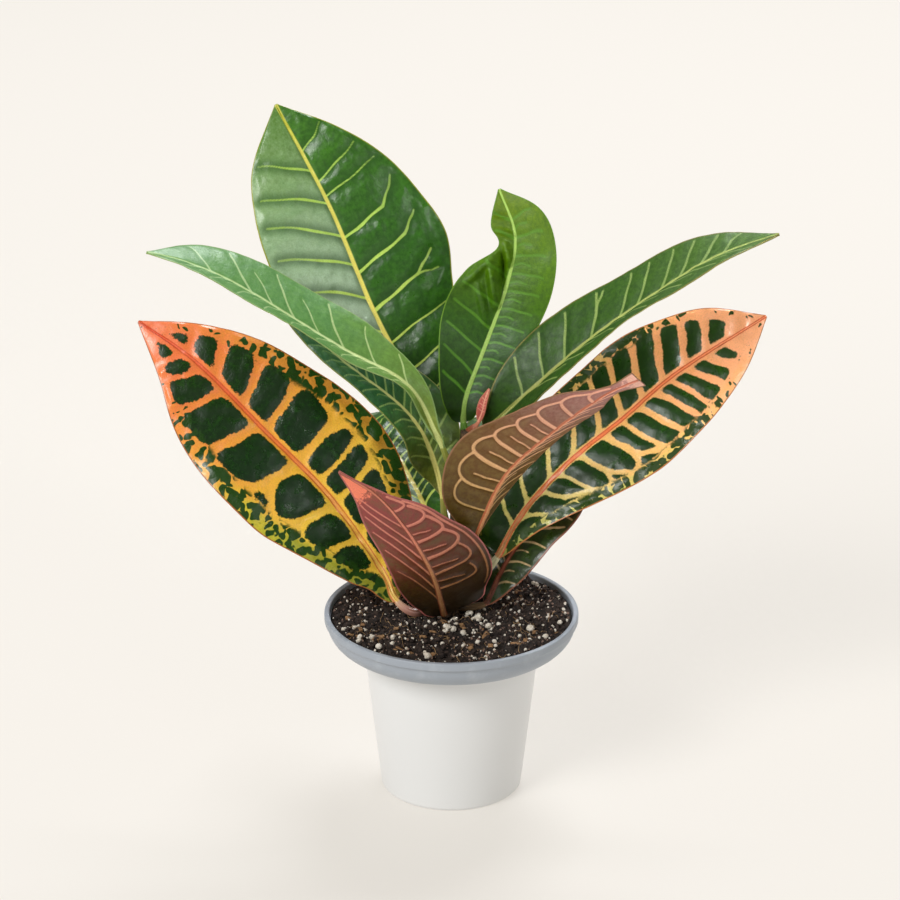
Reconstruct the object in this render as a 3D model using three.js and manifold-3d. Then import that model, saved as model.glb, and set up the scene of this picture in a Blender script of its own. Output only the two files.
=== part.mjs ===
// A croton in a 13 cm grow pot that hangs by its collar in a narrower white cachepot.
// Millimetres, +Z up, the origin at the centre of the cachepot's underside, the front along -Y.

import * as THREE from 'three';
import { mergeVertices } from 'three/addons/utils/BufferGeometryUtils.js';
import Module from 'manifold-3d';

const wasm = await Module();
wasm.setup();

// Driving dimensions

const GAP = 0.3; // between pieces that rest on or against each other
const FACETS = 36; // sides of every turned piece

const CACHEPOT = {
  footRadius: 36, rimRadius: 45.8, height: 79, wall: 3.5, floor: 5,
  bandDepth: 2.4, bandProud: 0.7, footBevel: 1.2, rimRound: 0.6, cove: 3,
};

const GROW_POT = {
  rimRadius: 65, rimHeight: 97, wall: 1.8,
  lipDepth: 4.5, lipProud: 0.9, lipRound: 0.6,
  floorRadius: 29, floorHeight: 9, neckRadius: 39.4,
  seatRadius: 47, bowlDepth: 12.5, bowlRadius: 63.6, bowlSteps: 4,
  drainRadius: 2.5, drainCircle: 16, drains: 4, drainFacets: 12,
};

const SOIL = {
  top: 94.4, crown: 1.2, relief: 0.9, rings: 7, seed: 7,
  perlite: 30, perliteRadius: [1.1, 2.0], chips: 7, chipSize: [7, 4, 2.2],
  clearOfStem: 12, clearOfPot: 6, calmEdge: 1,
};

const STEM = {
  route: [[0, 0, 66], [0, 0, 80], [0, 0, 94], [1, 0, 112], [2.5, -1, 134], [4.5, -1, 156], [6.5, 0, 178], [8, 2, 195]],
  footRadius: 5.4, topRadius: 3.4, swell: 0.45, scars: 5, scarsFrom: 0.25, facets: 10, steps: 26,
};

const LEAF = {
  thickness: 0.9, edge: 0.6, midrib: 1.1, midribWidth: 1.6, midribFade: 0.6, leastWidth: 0.5,
  stalkTaper: 0.25, stalkFlat: 0.8, wavesApart: 0.25,
  shoulders: [1, 0.72, 0.42], stalkStations: 4, bladeStations: 16, steps: 240,
};

// Each leaf: the midrib's route from the stem to the tip, the share of it that is bare stalk,
// the half-widths of the blade from stalk to tip as seen on the upper face with the tip up,
// the way that the upper face looks at the stem, halfway and at the tip, how steeply each half
// rises from the midrib, how far each half bends down towards its margin, and the margin's waves.
const LEAVES = [
  {
    name: 'leaf_back_tall', colour: 0x2f6b2c,
    route: [[4, 6, 174], [0, 14, 180], [-9, 24, 194], [-24, 37, 215], [-40, 48, 243], [-62, 62, 294], [-89, 80, 342]],
    stalk: 0.12, stalkRadius: 1.9,
    left: [2, 16, 29, 38, 42, 42, 37, 26, 0.5],
    right: [2, 18, 34, 45, 50, 45, 36, 21, 0.5],
    facing: [[0.1, -0.9, 0.6], [0.15, -0.95, 0.3], [0, -0.9, 0.1]],
    foldLeft: [30, 25, 20], foldRight: [15, 10, 5],
    curlLeft: [0, 10, 20], curlRight: [0, 20, 25],
    wave: { height: 1.5, count: 3, phase: 0.4 },
  },
  {
    name: 'leaf_left_arching', colour: 0x5b8f4a,
    route: [[2, -4, 172], [-1, -7, 180], [-8, -9, 199], [-23, -10, 225], [-55, -12, 245], [-104, -14, 278], [-130, -16, 291],
      [-149, -18, 297]],
    stalk: 0.1, stalkRadius: 1.9,
    left: [1.5, 5, 12, 19, 22, 22, 19, 12, 0.5],
    right: [1.5, 6, 13, 21, 24, 24, 21, 16, 0.5],
    facing: [[-0.6, -0.5, 0.5], [0.3, -0.2, 0.9], [-0.1, -0.2, 1]],
    foldLeft: [48, 24, 22], foldRight: [30, 25, 15],
    curlLeft: [0, 5, 5], curlRight: [0, 10, 20],
    wave: { height: 1.0, count: 2.5, phase: 1.1 },
  },
  {
    name: 'leaf_left_under', colour: 0x2d5a3c,
    route: [[-1, -2.5, 142.5], [-3.5, -1.5, 150], [-7, 1.5, 173], [-21, 4.5, 202], [-54.5, 8.5, 230], [-86, 13, 256]],
    stalk: 0.12, stalkRadius: 1.9,
    left: [1.5, 9, 16, 19, 19, 17, 14, 8, 0.5],
    right: [1.5, 9, 16, 19, 19, 17, 14, 8, 0.5],
    facing: [[-0.7, -0.5, 0.4], [0.3, -0.25, 0.9], [0.2, -0.3, 0.95]],
    foldLeft: [15, 15, 12], foldRight: [25, 20, 15],
    curlLeft: [0, 10, 10], curlRight: [0, 10, 10],
    wave: { height: 1.0, count: 2, phase: 0.2 },
  },
  {
    name: 'leaf_left_mottled', colour: 0x7a6a26,
    route: [[-6, -3, 103], [-12, -8, 101.5], [-20, -11, 101], [-29, -7, 107], [-37, 1, 121], [-63, 10, 157], [-95, 20, 188],
      [-129, 32, 220], [-159, 44, 238]],
    stalk: 0.12, stalkRadius: 2.1,
    left: [4, 20, 32, 40, 41, 38, 31, 17, 0.5],
    right: [4, 26, 38, 44, 44, 38, 30, 16, 0.5],
    facing: [[0.3, -0.8, 0.6], [0.25, -0.8, 0.55], [0.1, -0.85, 0.5]],
    foldLeft: [12, 8, 5], foldRight: [18, 14, 10],
    curlLeft: [5, 15, 20], curlRight: [0, 12, 20],
    wave: { height: 1.8, count: 3, phase: 0 },
  },
  {
    name: 'leaf_centre_upright', colour: 0x4a8a1e,
    route: [[7, 6.5, 191], [6, 9, 200], [8, 12, 212], [18, 22, 236], [28, 30, 263], [32, 36, 287], [24, 44, 309]],
    stalk: 0.1, stalkRadius: 1.7,
    left: [3, 15, 23, 27, 27, 22, 9, 11, 0.5],
    right: [2, 10, 16, 20, 22, 23, 21, 15, 0.5],
    facing: [[0.1, -0.95, 0.3], [-0.1, -0.95, 0.2], [-0.1, -0.95, 0.1]],
    foldLeft: [25, 20, 30], foldRight: [20, 15, 15],
    curlLeft: [0, 0, 0], curlRight: [0, 15, 20],
    wave: { height: 1.6, count: 3, phase: 0.9 },
  },
  {
    name: 'leaf_right_arching', colour: 0x2c5f2a,
    route: [[12, 2, 186], [19, 1, 197], [36, 0, 214], [71, -4, 248], [106, -6, 275], [131, -6, 291], [161, -6, 302]],
    stalk: 0.08, stalkRadius: 1.9,
    left: [3, 17, 24, 25, 25, 24, 20, 13, 0.5],
    right: [1.5, 10, 18, 22, 23, 21, 17, 10, 0.5],
    facing: [[0.6, -0.5, 0.5], [-0.3, -0.2, 0.9], [0.1, -0.2, 1]],
    foldLeft: [30, 25, 15], foldRight: [33, 23, 17],
    curlLeft: [0, 10, 15], curlRight: [0, 5, 10],
    wave: { height: 1.0, count: 2.5, phase: 0.6 },
  },
  {
    name: 'leaf_right_mottled', colour: 0x6f5a1f,
    route: [[6, 0, 110], [13, -1, 114], [23, 0, 126], [37, 4, 150], [60, 12, 174], [87, 22, 193.5], [115, 32, 215],
      [160, 44, 241]],
    stalk: 0.16, stalkRadius: 2.0,
    left: [13, 22, 28, 31, 34, 33, 28, 20, 0.5],
    right: [2, 13, 23, 30, 34, 32, 28, 18, 0.5],
    facing: [[-0.2, -0.8, 0.6], [-0.25, -0.75, 0.61], [-0.1, -0.85, 0.5]],
    foldLeft: [20, 15, 8], foldRight: [15, 8, 5],
    curlLeft: [0, 12, 20], curlRight: [0, 15, 15],
    wave: { height: 1.6, count: 3, phase: 0.5 },
  },
  {
    name: 'leaf_front_right', colour: 0x8a6a4a,
    route: [[5, -6, 124], [9, -10, 132], [13, -14, 146], [27, -24, 182], [51, -34, 210], [74, -42, 231], [91, -48, 242]],
    stalk: 0.14, stalkRadius: 1.8,
    left: [1.5, 11, 17, 20, 22, 20, 14, 4, 6],
    right: [4, 22, 29, 31, 28, 25, 18, 5, 6],
    facing: [[-0.7, 0.5, 0.4], [-0.6, 0.55, 0.5], [-0.5, 0.6, 0.6], [-0.45, 0.6, 0.65], [-0.4, 0.85, 0.3]],
    foldLeft: [8, 6, 0], foldRight: [40, 40, 10],
    curlLeft: [0, 0, 5], curlRight: [0, 0, 5],
    wave: { height: 1.0, count: 2, phase: 0.4 },
  },
  {
    name: 'leaf_front_left', colour: 0x6b3a34,
    route: [[-1.5, -6.3, 98.5], [-3.5, -11, 99.5], [-5, -17, 108], [-8, -26, 124], [-13, -34, 140], [-23, -42, 161], [-37, -50, 182],
      [-55, -56, 197]],
    stalk: 0.05, stalkRadius: 1.8,
    left: [20, 30, 31, 27, 20, 14, 5, 1, 0.5],
    right: [8, 16, 19, 19, 18, 17, 14, 8, 0.5],
    facing: [[-0.2, 0.95, 0.3], [-0.33, 0.9, 0.29], [-0.3, 0.85, 0.4]],
    foldLeft: [12, 12, 8], foldRight: [12, 12, 8],
    curlLeft: [0, 0, 5], curlRight: [0, 0, 5],
    wave: { height: 0.8, count: 2, phase: 0.8 },
  },
  {
    name: 'leaf_right_low', colour: 0x3a4a24,
    route: [[5, -2, 100.2], [12.5, -3, 100.5], [19, -2, 103.5], [25.5, 2, 117], [34.5, 7, 130.5], [55.5, 16, 151.5], [76, 24, 166]],
    stalk: 0.12, stalkRadius: 1.8,
    left: [3, 15, 20, 20, 18, 16, 14, 8, 0.5],
    right: [1.5, 9, 14, 16, 16, 16, 14, 8, 0.5],
    facing: [[-0.3, -0.7, 0.6], [-0.4, -0.6, 0.7], [-0.3, -0.5, 0.8]],
    foldLeft: [10, 5, 0], foldRight: [10, 5, 5],
    curlLeft: [0, 10, 15], curlRight: [0, 10, 15],
    wave: { height: 0.8, count: 2, phase: 0.1 },
  },
  {
    name: 'leaf_rear_left', colour: 0x35602c,
    route: [[-2, 4.5, 126], [-6, 12, 130], [-15, 30, 144], [-28, 54, 160], [-40, 78, 168], [-51, 98, 163], [-58, 112, 150]],
    stalk: 0.12, stalkRadius: 1.9,
    left: [2, 12, 20, 24, 25, 23, 18, 11, 0.5],
    right: [2, 12, 20, 24, 25, 23, 18, 11, 0.5],
    facing: [[0.2, -0.5, 0.8], [0.2, -0.4, 0.9], [-0.2, 0.4, 0.9]],
    foldLeft: [20, 15, 10], foldRight: [20, 15, 10],
    curlLeft: [0, 15, 15], curlRight: [0, 15, 15],
    wave: { height: 1.2, count: 3, phase: 0.3 },
  },
  {
    name: 'leaf_rear_right', colour: 0x35602c,
    route: [[6, 4.5, 150], [10, 13, 153], [18, 34, 163], [28, 58, 170], [37, 82, 168], [44, 103, 157]],
    stalk: 0.12, stalkRadius: 1.9,
    left: [2, 12, 20, 24, 24, 22, 17, 10, 0.5],
    right: [2, 12, 20, 24, 24, 22, 17, 10, 0.5],
    facing: [[-0.1, -0.5, 0.8], [-0.2, -0.3, 0.9], [0.2, 0.4, 0.9]],
    foldLeft: [20, 15, 10], foldRight: [20, 15, 10],
    curlLeft: [0, 15, 15], curlRight: [0, 15, 15],
    wave: { height: 1.2, count: 3, phase: 0.7 },
  },
  {
    name: 'leaf_young_shoot', colour: 0xc9645c,
    route: [[10.6, 0, 197.6], [13, -0.6, 200], [15.5, -1, 206], [17, -1, 213], [19, -1, 219]],
    stalk: 0.2, stalkRadius: 1.0,
    left: [1, 2.4, 3.2, 3.5, 3.4, 3, 2.3, 1.4, 0.5],
    right: [1, 2.4, 3.2, 3.5, 3.4, 3, 2.3, 1.4, 0.5],
    facing: [[-0.6, -0.6, 0.4], [-0.6, -0.7, 0.2], [-0.5, -0.8, 0.1]],
    foldLeft: [30, 40, 40], foldRight: [30, 40, 40],
    curlLeft: [0, 0, 0], curlRight: [0, 0, 0],
    wave: { height: 0, count: 1, phase: 0 },
  },
];

const COLOURS = { cachepot: 0xf2f1ec, growPot: 0x8b9197, soil: 0x1d1712, stem: 0x7d6a4f };

// Smooth values along evenly spaced knots

function blend(values, share) {
  const last = values.length - 1;
  const place = Math.min(Math.max(share, 0), 1) * last;
  const i = Math.min(Math.floor(place), last - 1);
  const t = place - i;
  const at = (k) => {
    if (k < 0) return 2 * values[0] - values[1];
    if (k > last) return 2 * values[last] - values[last - 1];
    return values[k];
  };
  const [a, b, c, d] = [at(i - 1), at(i), at(i + 1), at(i + 2)];
  return 0.5 * (2 * b + (c - a) * t + (2 * a - 5 * b + 4 * c - d) * t * t + (3 * b - a - 3 * c + d) * t * t * t);
}

function blendPoint(points, share) {
  return new THREE.Vector3(...[0, 1, 2].map((axis) => blend(points.map((p) => p[axis]), share)));
}

// The places along a route at equal distances, with the direction at each

function walk(points, shares) {
  const fine = LEAF.steps;
  const places = Array.from({ length: fine + 1 }, (_, i) => blendPoint(points, i / fine));
  const run = [0];
  for (let i = 1; i <= fine; i += 1) run.push(run[i - 1] + places[i].distanceTo(places[i - 1]));
  return shares.map((share) => {
    const goal = share * run[fine];
    let i = 1;
    while (i < fine && run[i] < goal) i += 1;
    const t = (goal - run[i - 1]) / (run[i] - run[i - 1]);
    const point = places[i - 1].clone().lerp(places[i], t);
    const before = places[Math.max(i - 2, 0)];
    const after = places[Math.min(i + 1, fine)];
    return { share, point, along: after.clone().sub(before).normalize() };
  });
}

// Leaves

const DEGREE = Math.PI / 180;

function halfBlade(width, fold, curl, v) {
  const start = fold * DEGREE;
  const bend = curl * DEGREE * v;
  if (Math.abs(bend) < 1e-4) return { out: width * v * Math.cos(start), up: width * v * Math.sin(start), turn: start };
  const reach = (width * v) / bend;
  return {
    out: reach * (Math.sin(start) - Math.sin(start - bend)),
    up: reach * (Math.cos(start - bend) - Math.cos(start)),
    turn: start - bend,
  };
}

function leafStations(leaf) {
  const { stalkStations: bare, bladeStations: wide } = LEAF;
  const stalk = Array.from({ length: bare }, (_, i) => (leaf.stalk * i) / bare);
  const blade = Array.from({ length: wide + 1 }, (_, i) => leaf.stalk + (1 - leaf.stalk) * (i / wide));
  return walk(leaf.route, [...stalk, ...blade]);
}

function leafRing(leaf, station) {
  const blade = Math.max((station.share - leaf.stalk) / (1 - leaf.stalk), 0);
  const bare = station.share < leaf.stalk;
  const facing = blendPoint(leaf.facing, station.share);
  const across = station.along.clone().cross(facing).normalize();
  const normal = across.clone().cross(station.along).normalize();
  const radius = leaf.stalkRadius * (1 - LEAF.stalkTaper * Math.min(station.share / leaf.stalk, 1));
  const rib = LEAF.midribWidth / 2;
  const top = [];
  const bottom = [];
  const knotsOf = (width) => [...LEAF.shoulders, Math.min((2 * rib) / width, 0.3), 0];
  const sides = [-1, 1].flatMap((side) => {
    const width = bare ? radius : Math.max(blend(side < 0 ? leaf.left : leaf.right, blade), LEAF.leastWidth);
    const row = knotsOf(width).map((v) => ({ side, width, v }));
    return side < 0 ? row : row.reverse().slice(1);
  });
  for (const { side, width, v } of sides) {
    const fold = bare ? 0 : blend(side < 0 ? leaf.foldLeft : leaf.foldRight, station.share);
    const curl = bare ? 0 : blend(side < 0 ? leaf.curlLeft : leaf.curlRight, station.share);
    const half = halfBlade(width, fold, curl, v);
    const turn = leaf.wave.count * blade + leaf.wave.phase + LEAF.wavesApart * side;
    const swell = Math.sin(2 * Math.PI * turn);
    const lift = bare ? 0 : leaf.wave.height * v * v * swell * Math.sin(Math.PI * Math.min(blade, 1));
    const middle = station.point.clone()
      .addScaledVector(across, side * half.out)
      .addScaledVector(normal, half.up + lift);
    const skin = across.clone().multiplyScalar(-side * Math.sin(half.turn))
      .addScaledVector(normal, Math.cos(half.turn)).normalize();
    const round = radius * Math.sqrt(Math.max(1 - v * v, 0));
    const onRib = v === 0 ? LEAF.midrib * (1 - LEAF.midribFade * blade) : 0;
    const skinDepth = (LEAF.edge + (LEAF.thickness - LEAF.edge) * (1 - v)) / 2;
    const above = bare ? Math.max(round * LEAF.stalkFlat, LEAF.edge / 2) : skinDepth;
    const below = bare ? Math.max(round, LEAF.edge / 2) : skinDepth + onRib;
    top.push(middle.clone().addScaledVector(skin, above));
    bottom.push(middle.clone().addScaledVector(skin, -below));
  }
  return { top, bottom };
}

function loftSheet(rings) {
  const wide = rings[0].top.length;
  const positions = rings.flatMap(({ top, bottom }) => [...top, ...bottom]).flatMap((p) => [p.x, p.y, p.z]);
  const above = (i, k) => i * 2 * wide + k;
  const below = (i, k) => above(i, k) + wide;
  const faces = [];
  const quad = (a, b, c, d) => faces.push(a, b, c, a, c, d);
  for (let i = 0; i + 1 < rings.length; i += 1) {
    for (let k = 0; k + 1 < wide; k += 1) {
      quad(above(i, k), above(i, k + 1), above(i + 1, k + 1), above(i + 1, k));
      faces.push(below(i, k), below(i + 1, k + 1), below(i, k + 1));
      faces.push(below(i, k), below(i + 1, k), below(i + 1, k + 1));
    }
    quad(above(i, 0), above(i + 1, 0), below(i + 1, 0), below(i, 0));
    quad(above(i, wide - 1), below(i, wide - 1), below(i + 1, wide - 1), above(i + 1, wide - 1));
  }
  const end = rings.length - 1;
  for (let k = 0; k + 1 < wide; k += 1) {
    quad(above(0, k), below(0, k), below(0, k + 1), above(0, k + 1));
    quad(above(end, k), above(end, k + 1), below(end, k + 1), below(end, k));
  }
  const geometry = new THREE.BufferGeometry();
  geometry.setAttribute('position', new THREE.Float32BufferAttribute(positions, 3));
  geometry.setIndex(faces);
  return geometry;
}

// The lowest ring stands in the stem's axis, and the stem is then cut away with the seat's gap
function leafGeometry(leaf) {
  const stations = leafStations(leaf);
  const root = stemAxis.find((p) => p.z >= stations[0].point.z) ?? stemAxis[stemAxis.length - 1];
  const along = stations[0].point.clone().sub(root).normalize();
  const rings = [{ share: 0, point: root, along }, ...stations].map((station) => leafRing(leaf, station));
  return surface(solid(loftSheet(rings)).subtract(stemSeat));
}

// Turned pieces

function lathe(profile, facets = FACETS) {
  const turned = new THREE.LatheGeometry(profile.map(([r, z]) => new THREE.Vector2(r, z)), facets);
  return turned.rotateX(Math.PI / 2);
}

function cachepotGeometry() {
  const { footRadius, rimRadius, height, wall, floor } = CACHEPOT;
  const { bandDepth, bandProud, footBevel, rimRound, cove } = CACHEPOT;
  const slope = (rimRadius - bandProud - footRadius) / height;
  const outer = (z) => footRadius + slope * z;
  return lathe([
    [0, 0], [footRadius - footBevel, 0], [outer(footBevel), footBevel],
    [outer(height - bandDepth), height - bandDepth],
    [rimRadius, height - bandDepth + bandProud], [rimRadius, height - rimRound], [rimRadius - rimRound, height],
    [rimRadius - wall + rimRound, height], [rimRadius - wall, height - rimRound],
    [outer(floor + cove) - wall, floor + cove], [outer(floor) - wall - cove, floor], [0, floor],
  ]);
}

function bowlArc(seat, top, from, depth) {
  return Array.from({ length: GROW_POT.bowlSteps + 1 }, (_, i) => {
    const angle = (i / GROW_POT.bowlSteps) * (Math.PI / 2);
    return [seat + (top - seat) * Math.sin(angle), from + depth * (1 - Math.cos(angle))];
  });
}

// The pot's wall from its floor to under the lip, set in from the outside by a distance:
// a cone, the flat ring that hangs on the cachepot's rim, and the bowl of the collar

function growPotWall(inset) {
  const p = GROW_POT;
  const seatHeight = CACHEPOT.height + GAP + inset;
  return [
    [p.floorRadius - inset, p.floorHeight + inset],
    [p.neckRadius - inset, seatHeight],
    ...bowlArc(p.seatRadius - inset / 2, p.bowlRadius - inset, seatHeight, p.bowlDepth),
  ];
}

function growPotGeometry() {
  const p = GROW_POT;
  const throat = p.rimRadius - p.lipProud;
  const lipFoot = p.rimHeight - p.lipDepth;
  return lathe([
    [0, p.floorHeight], ...growPotWall(0),
    [throat, lipFoot], [p.rimRadius, lipFoot + p.lipRound], [p.rimRadius, p.rimHeight - p.lipRound],
    [p.rimRadius - p.lipRound, p.rimHeight], [throat - p.wall + p.lipRound, p.rimHeight],
    [throat - p.wall, p.rimHeight - p.lipRound], [throat - p.wall, lipFoot],
    ...growPotWall(p.wall).reverse(), [0, p.floorHeight + p.wall],
  ]);
}

// Solids joined and cut

function solid(geometry) {
  const bare = geometry.clone();
  bare.deleteAttribute('normal');
  bare.deleteAttribute('uv');
  const merged = mergeVertices(bare, 1e-4);
  const mesh = new wasm.Mesh({
    numProp: 3,
    vertProperties: new Float32Array(merged.attributes.position.array),
    triVerts: new Uint32Array(merged.index.array),
  });
  return new wasm.Manifold(mesh);
}

function surface(body) {
  const mesh = body.getMesh();
  const geometry = new THREE.BufferGeometry();
  geometry.setAttribute('position', new THREE.Float32BufferAttribute(mesh.vertProperties, 3));
  geometry.setIndex(new THREE.BufferAttribute(mesh.triVerts, 1));
  return geometry;
}

function drainedGrowPot() {
  const p = GROW_POT;
  let body = solid(growPotGeometry());
  for (let i = 0; i < p.drains; i += 1) {
    const angle = (i + 0.5) * ((2 * Math.PI) / p.drains);
    const drill = new THREE.CylinderGeometry(p.drainRadius, p.drainRadius, 3 * p.wall, p.drainFacets);
    drill.rotateX(Math.PI / 2);
    drill.translate(p.drainCircle * Math.cos(angle), p.drainCircle * Math.sin(angle), p.floorHeight + p.wall / 2);
    body = body.subtract(solid(drill));
  }
  return surface(body);
}

// Stem

function stemRadius(share) {
  const scar = Math.max(Math.sin(2 * Math.PI * STEM.scars * share), 0) ** 3;
  const swell = share > STEM.scarsFrom ? STEM.swell * scar : 0;
  return STEM.footRadius + (STEM.topRadius - STEM.footRadius) * share + swell;
}

function stemGeometry(grown = 0) {
  const shares = Array.from({ length: STEM.steps + 1 }, (_, i) => i / STEM.steps);
  const rings = walk(STEM.route, shares).map(({ share, point, along }) => {
    const east = new THREE.Vector3(1, 0, 0).addScaledVector(along, -along.x).normalize();
    const north = along.clone().cross(east);
    const radius = stemRadius(share) + grown;
    const middle = share < 1 ? point : point.clone().addScaledVector(along, grown);
    return Array.from({ length: STEM.facets }, (_, k) => {
      const angle = (2 * Math.PI * k) / STEM.facets;
      return middle.clone().addScaledVector(east, radius * Math.cos(angle)).addScaledVector(north, radius * Math.sin(angle));
    });
  });
  return loftTube(rings);
}

function loftTube(rings) {
  const round = rings[0].length;
  const middle = (ring) => ring.reduce((sum, p) => sum.add(p), new THREE.Vector3()).divideScalar(round);
  const points = [...rings.flat(), middle(rings[0]), middle(rings[rings.length - 1])];
  const first = rings.length * round;
  const faces = [];
  for (let k = 0; k < round; k += 1) {
    const next = (k + 1) % round;
    for (let i = 0; i + 1 < rings.length; i += 1) {
      const [a, b] = [i * round + k, i * round + next];
      faces.push(a, b, b + round, a, b + round, a + round);
    }
    faces.push(first, next, k, first + 1, first - round + k, first - round + next);
  }
  const geometry = new THREE.BufferGeometry();
  geometry.setAttribute('position', new THREE.Float32BufferAttribute(points.flatMap((p) => [p.x, p.y, p.z]), 3));
  geometry.setIndex(faces);
  return geometry;
}

const stemAxis = Array.from({ length: LEAF.steps + 1 }, (_, i) => blendPoint(STEM.route, i / LEAF.steps));
const stemSeat = solid(stemGeometry(GAP));

// Soil

function draw(seed) {
  let state = seed >>> 0;
  return () => {
    state = (Math.imul(state, 1664525) + 1013904223) >>> 0;
    return state / 4294967296;
  };
}

function soilGeometry() {
  const random = draw(SOIL.seed);
  const inside = growPotWall(GROW_POT.wall + GAP);
  const edge = GROW_POT.rimRadius - GROW_POT.lipProud - GROW_POT.wall - 2 * GAP;
  const hole = STEM.footRadius + GAP;
  const holeFloor = STEM.route[0][2] - GAP;
  const surfaceAt = (r) => SOIL.top + SOIL.crown * (1 - (r / edge) ** 2);
  const profile = [[0, inside[0][1]], ...inside, [edge, SOIL.top]];
  for (let i = 1; i <= SOIL.rings; i += 1) {
    const r = edge + ((hole - edge) * i) / SOIL.rings;
    profile.push([r, surfaceAt(r)]);
  }
  profile.push([hole, holeFloor], [0, holeFloor]);
  const geometry = mergeVertices(stripped(lathe(profile)), 1e-4);
  const place = geometry.attributes.position;
  for (let i = 0; i < place.count; i += 1) {
    const r = Math.hypot(place.getX(i), place.getY(i));
    const onTop = place.getZ(i) > SOIL.top && r < edge - SOIL.calmEdge && r > hole + SOIL.calmEdge;
    const lift = SOIL.relief * (2 * random() - 1);
    if (onTop) place.setZ(i, place.getZ(i) + lift);
  }
  let body = solid(geometry);
  const scatter = (grain) => {
    const angle = 2 * Math.PI * random();
    const r = SOIL.clearOfStem + (edge - SOIL.clearOfPot - SOIL.clearOfStem) * Math.sqrt(random());
    grain.rotateX(random()).rotateY(random()).rotateZ(2 * Math.PI * random());
    grain.translate(r * Math.cos(angle), r * Math.sin(angle), surfaceAt(r));
    body = body.add(solid(grain));
  };
  for (let i = 0; i < SOIL.perlite; i += 1) {
    const [least, most] = SOIL.perliteRadius;
    scatter(new THREE.OctahedronGeometry(least + (most - least) * random()));
  }
  for (let i = 0; i < SOIL.chips; i += 1) scatter(new THREE.BoxGeometry(...SOIL.chipSize));
  return surface(body);
}

function stripped(geometry) {
  geometry.deleteAttribute('normal');
  geometry.deleteAttribute('uv');
  return geometry;
}

// The whole plant

function piece(name, geometry, colour, roughness = 0.6) {
  const shaded = geometry.clone();
  shaded.computeVertexNormals();
  const mesh = new THREE.Mesh(shaded, new THREE.MeshStandardMaterial({ color: colour, roughness, metalness: 0 }));
  mesh.name = name;
  return mesh;
}

const plant = new THREE.Group();
plant.add(piece('cachepot', cachepotGeometry(), COLOURS.cachepot, 0.35));
plant.add(piece('grow_pot', drainedGrowPot(), COLOURS.growPot, 0.6));
plant.add(piece('soil', soilGeometry(), COLOURS.soil, 0.95));
plant.add(piece('stem', stemGeometry(), COLOURS.stem, 0.8));
for (const leaf of LEAVES) plant.add(piece(leaf.name, leafGeometry(leaf), leaf.colour, 0.35));

export default plant;
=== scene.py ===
"""The looks of a potted croton in a grey grow pot and a white glazed cachepot.

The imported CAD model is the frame. Every CAD piece gets a finer piece of the same form: leaves with
their veins, quilting and two faces, a barked stem, a potting mix with its grains, and turned pots.
Sizes are in millimetres until a mesh is made, in the frame's axes: the front is -Y and up is +Z.
"""

import logging
import math
from collections.abc import Iterable, Sequence
from dataclasses import dataclass
from enum import Enum

import bpy
import numpy as np
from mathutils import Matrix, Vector

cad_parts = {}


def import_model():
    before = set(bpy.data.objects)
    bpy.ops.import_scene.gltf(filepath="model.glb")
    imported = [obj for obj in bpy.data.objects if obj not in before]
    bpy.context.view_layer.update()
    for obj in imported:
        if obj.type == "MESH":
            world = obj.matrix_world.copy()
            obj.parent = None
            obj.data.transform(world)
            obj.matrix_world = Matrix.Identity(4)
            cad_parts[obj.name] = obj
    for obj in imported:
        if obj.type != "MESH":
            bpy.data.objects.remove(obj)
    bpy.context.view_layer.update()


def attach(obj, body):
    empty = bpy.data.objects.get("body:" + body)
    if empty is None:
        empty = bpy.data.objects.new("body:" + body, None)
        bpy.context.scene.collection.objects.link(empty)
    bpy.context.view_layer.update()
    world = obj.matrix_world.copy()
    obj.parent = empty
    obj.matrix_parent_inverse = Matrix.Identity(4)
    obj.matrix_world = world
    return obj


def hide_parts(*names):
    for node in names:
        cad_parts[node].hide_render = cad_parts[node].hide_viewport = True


MM = 0.001
BODY = "root"
FAR = 50.0  # farther than any vein, in mm
Grid = np.ndarray
Piece = bpy.types.Object
Material = bpy.types.Material
Socket = bpy.types.NodeSocket
Stops = tuple[tuple[float, str] | str, ...]
log = logging.getLogger("croton")


def linear(colour: str) -> tuple[float, float, float, float]:
    """Turn an sRGB hex colour into linear light.

    Args:
        colour: Six hex digits with a leading #.

    Returns:
        Red, green, blue and alpha, as the shader nodes take them.
    """
    parts = [int(colour[i : i + 2], 16) / 255 for i in (1, 3, 5)]
    light = [c / 12.92 if c <= 0.04045 else ((c + 0.055) / 1.055) ** 2.4 for c in parts]
    return light[0], light[1], light[2], 1.0


def blend(values: Sequence, share: Grid) -> Grid:
    """Give smooth values along evenly spaced knots, as the CAD source does.

    Args:
        values: Numbers or points at the knots.
        share: Places from 0 at the first knot to 1 at the last.

    Returns:
        One number or point for each place.
    """
    knots = np.asarray(values, float)
    padded = np.concatenate([[2 * knots[0] - knots[1]], knots, [2 * knots[-1] - knots[-2]]])
    place = np.clip(share, 0, 1) * (len(knots) - 1)
    i = np.minimum(place.astype(int), len(knots) - 2)
    t = place - i
    if knots.ndim > 1:
        t = t[..., None]
    a, b, c, d = (padded[i + k] for k in range(4))
    return 0.5 * (2 * b + (c - a) * t + (2 * a - 5 * b + 4 * c - d) * t**2 + (3 * b - a - 3 * c + d) * t**3)


def unit(vectors: Grid) -> Grid:
    """Scale vectors to length 1."""
    return vectors / np.maximum(np.linalg.norm(vectors, axis=-1, keepdims=True), 1e-12)


def ease(low: float, high: float, value: Grid) -> Grid:
    """Rise smoothly from 0 at low to 1 at high."""
    t = np.clip((value - low) / (high - low), 0, 1)
    return t * t * (3 - 2 * t)


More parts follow.
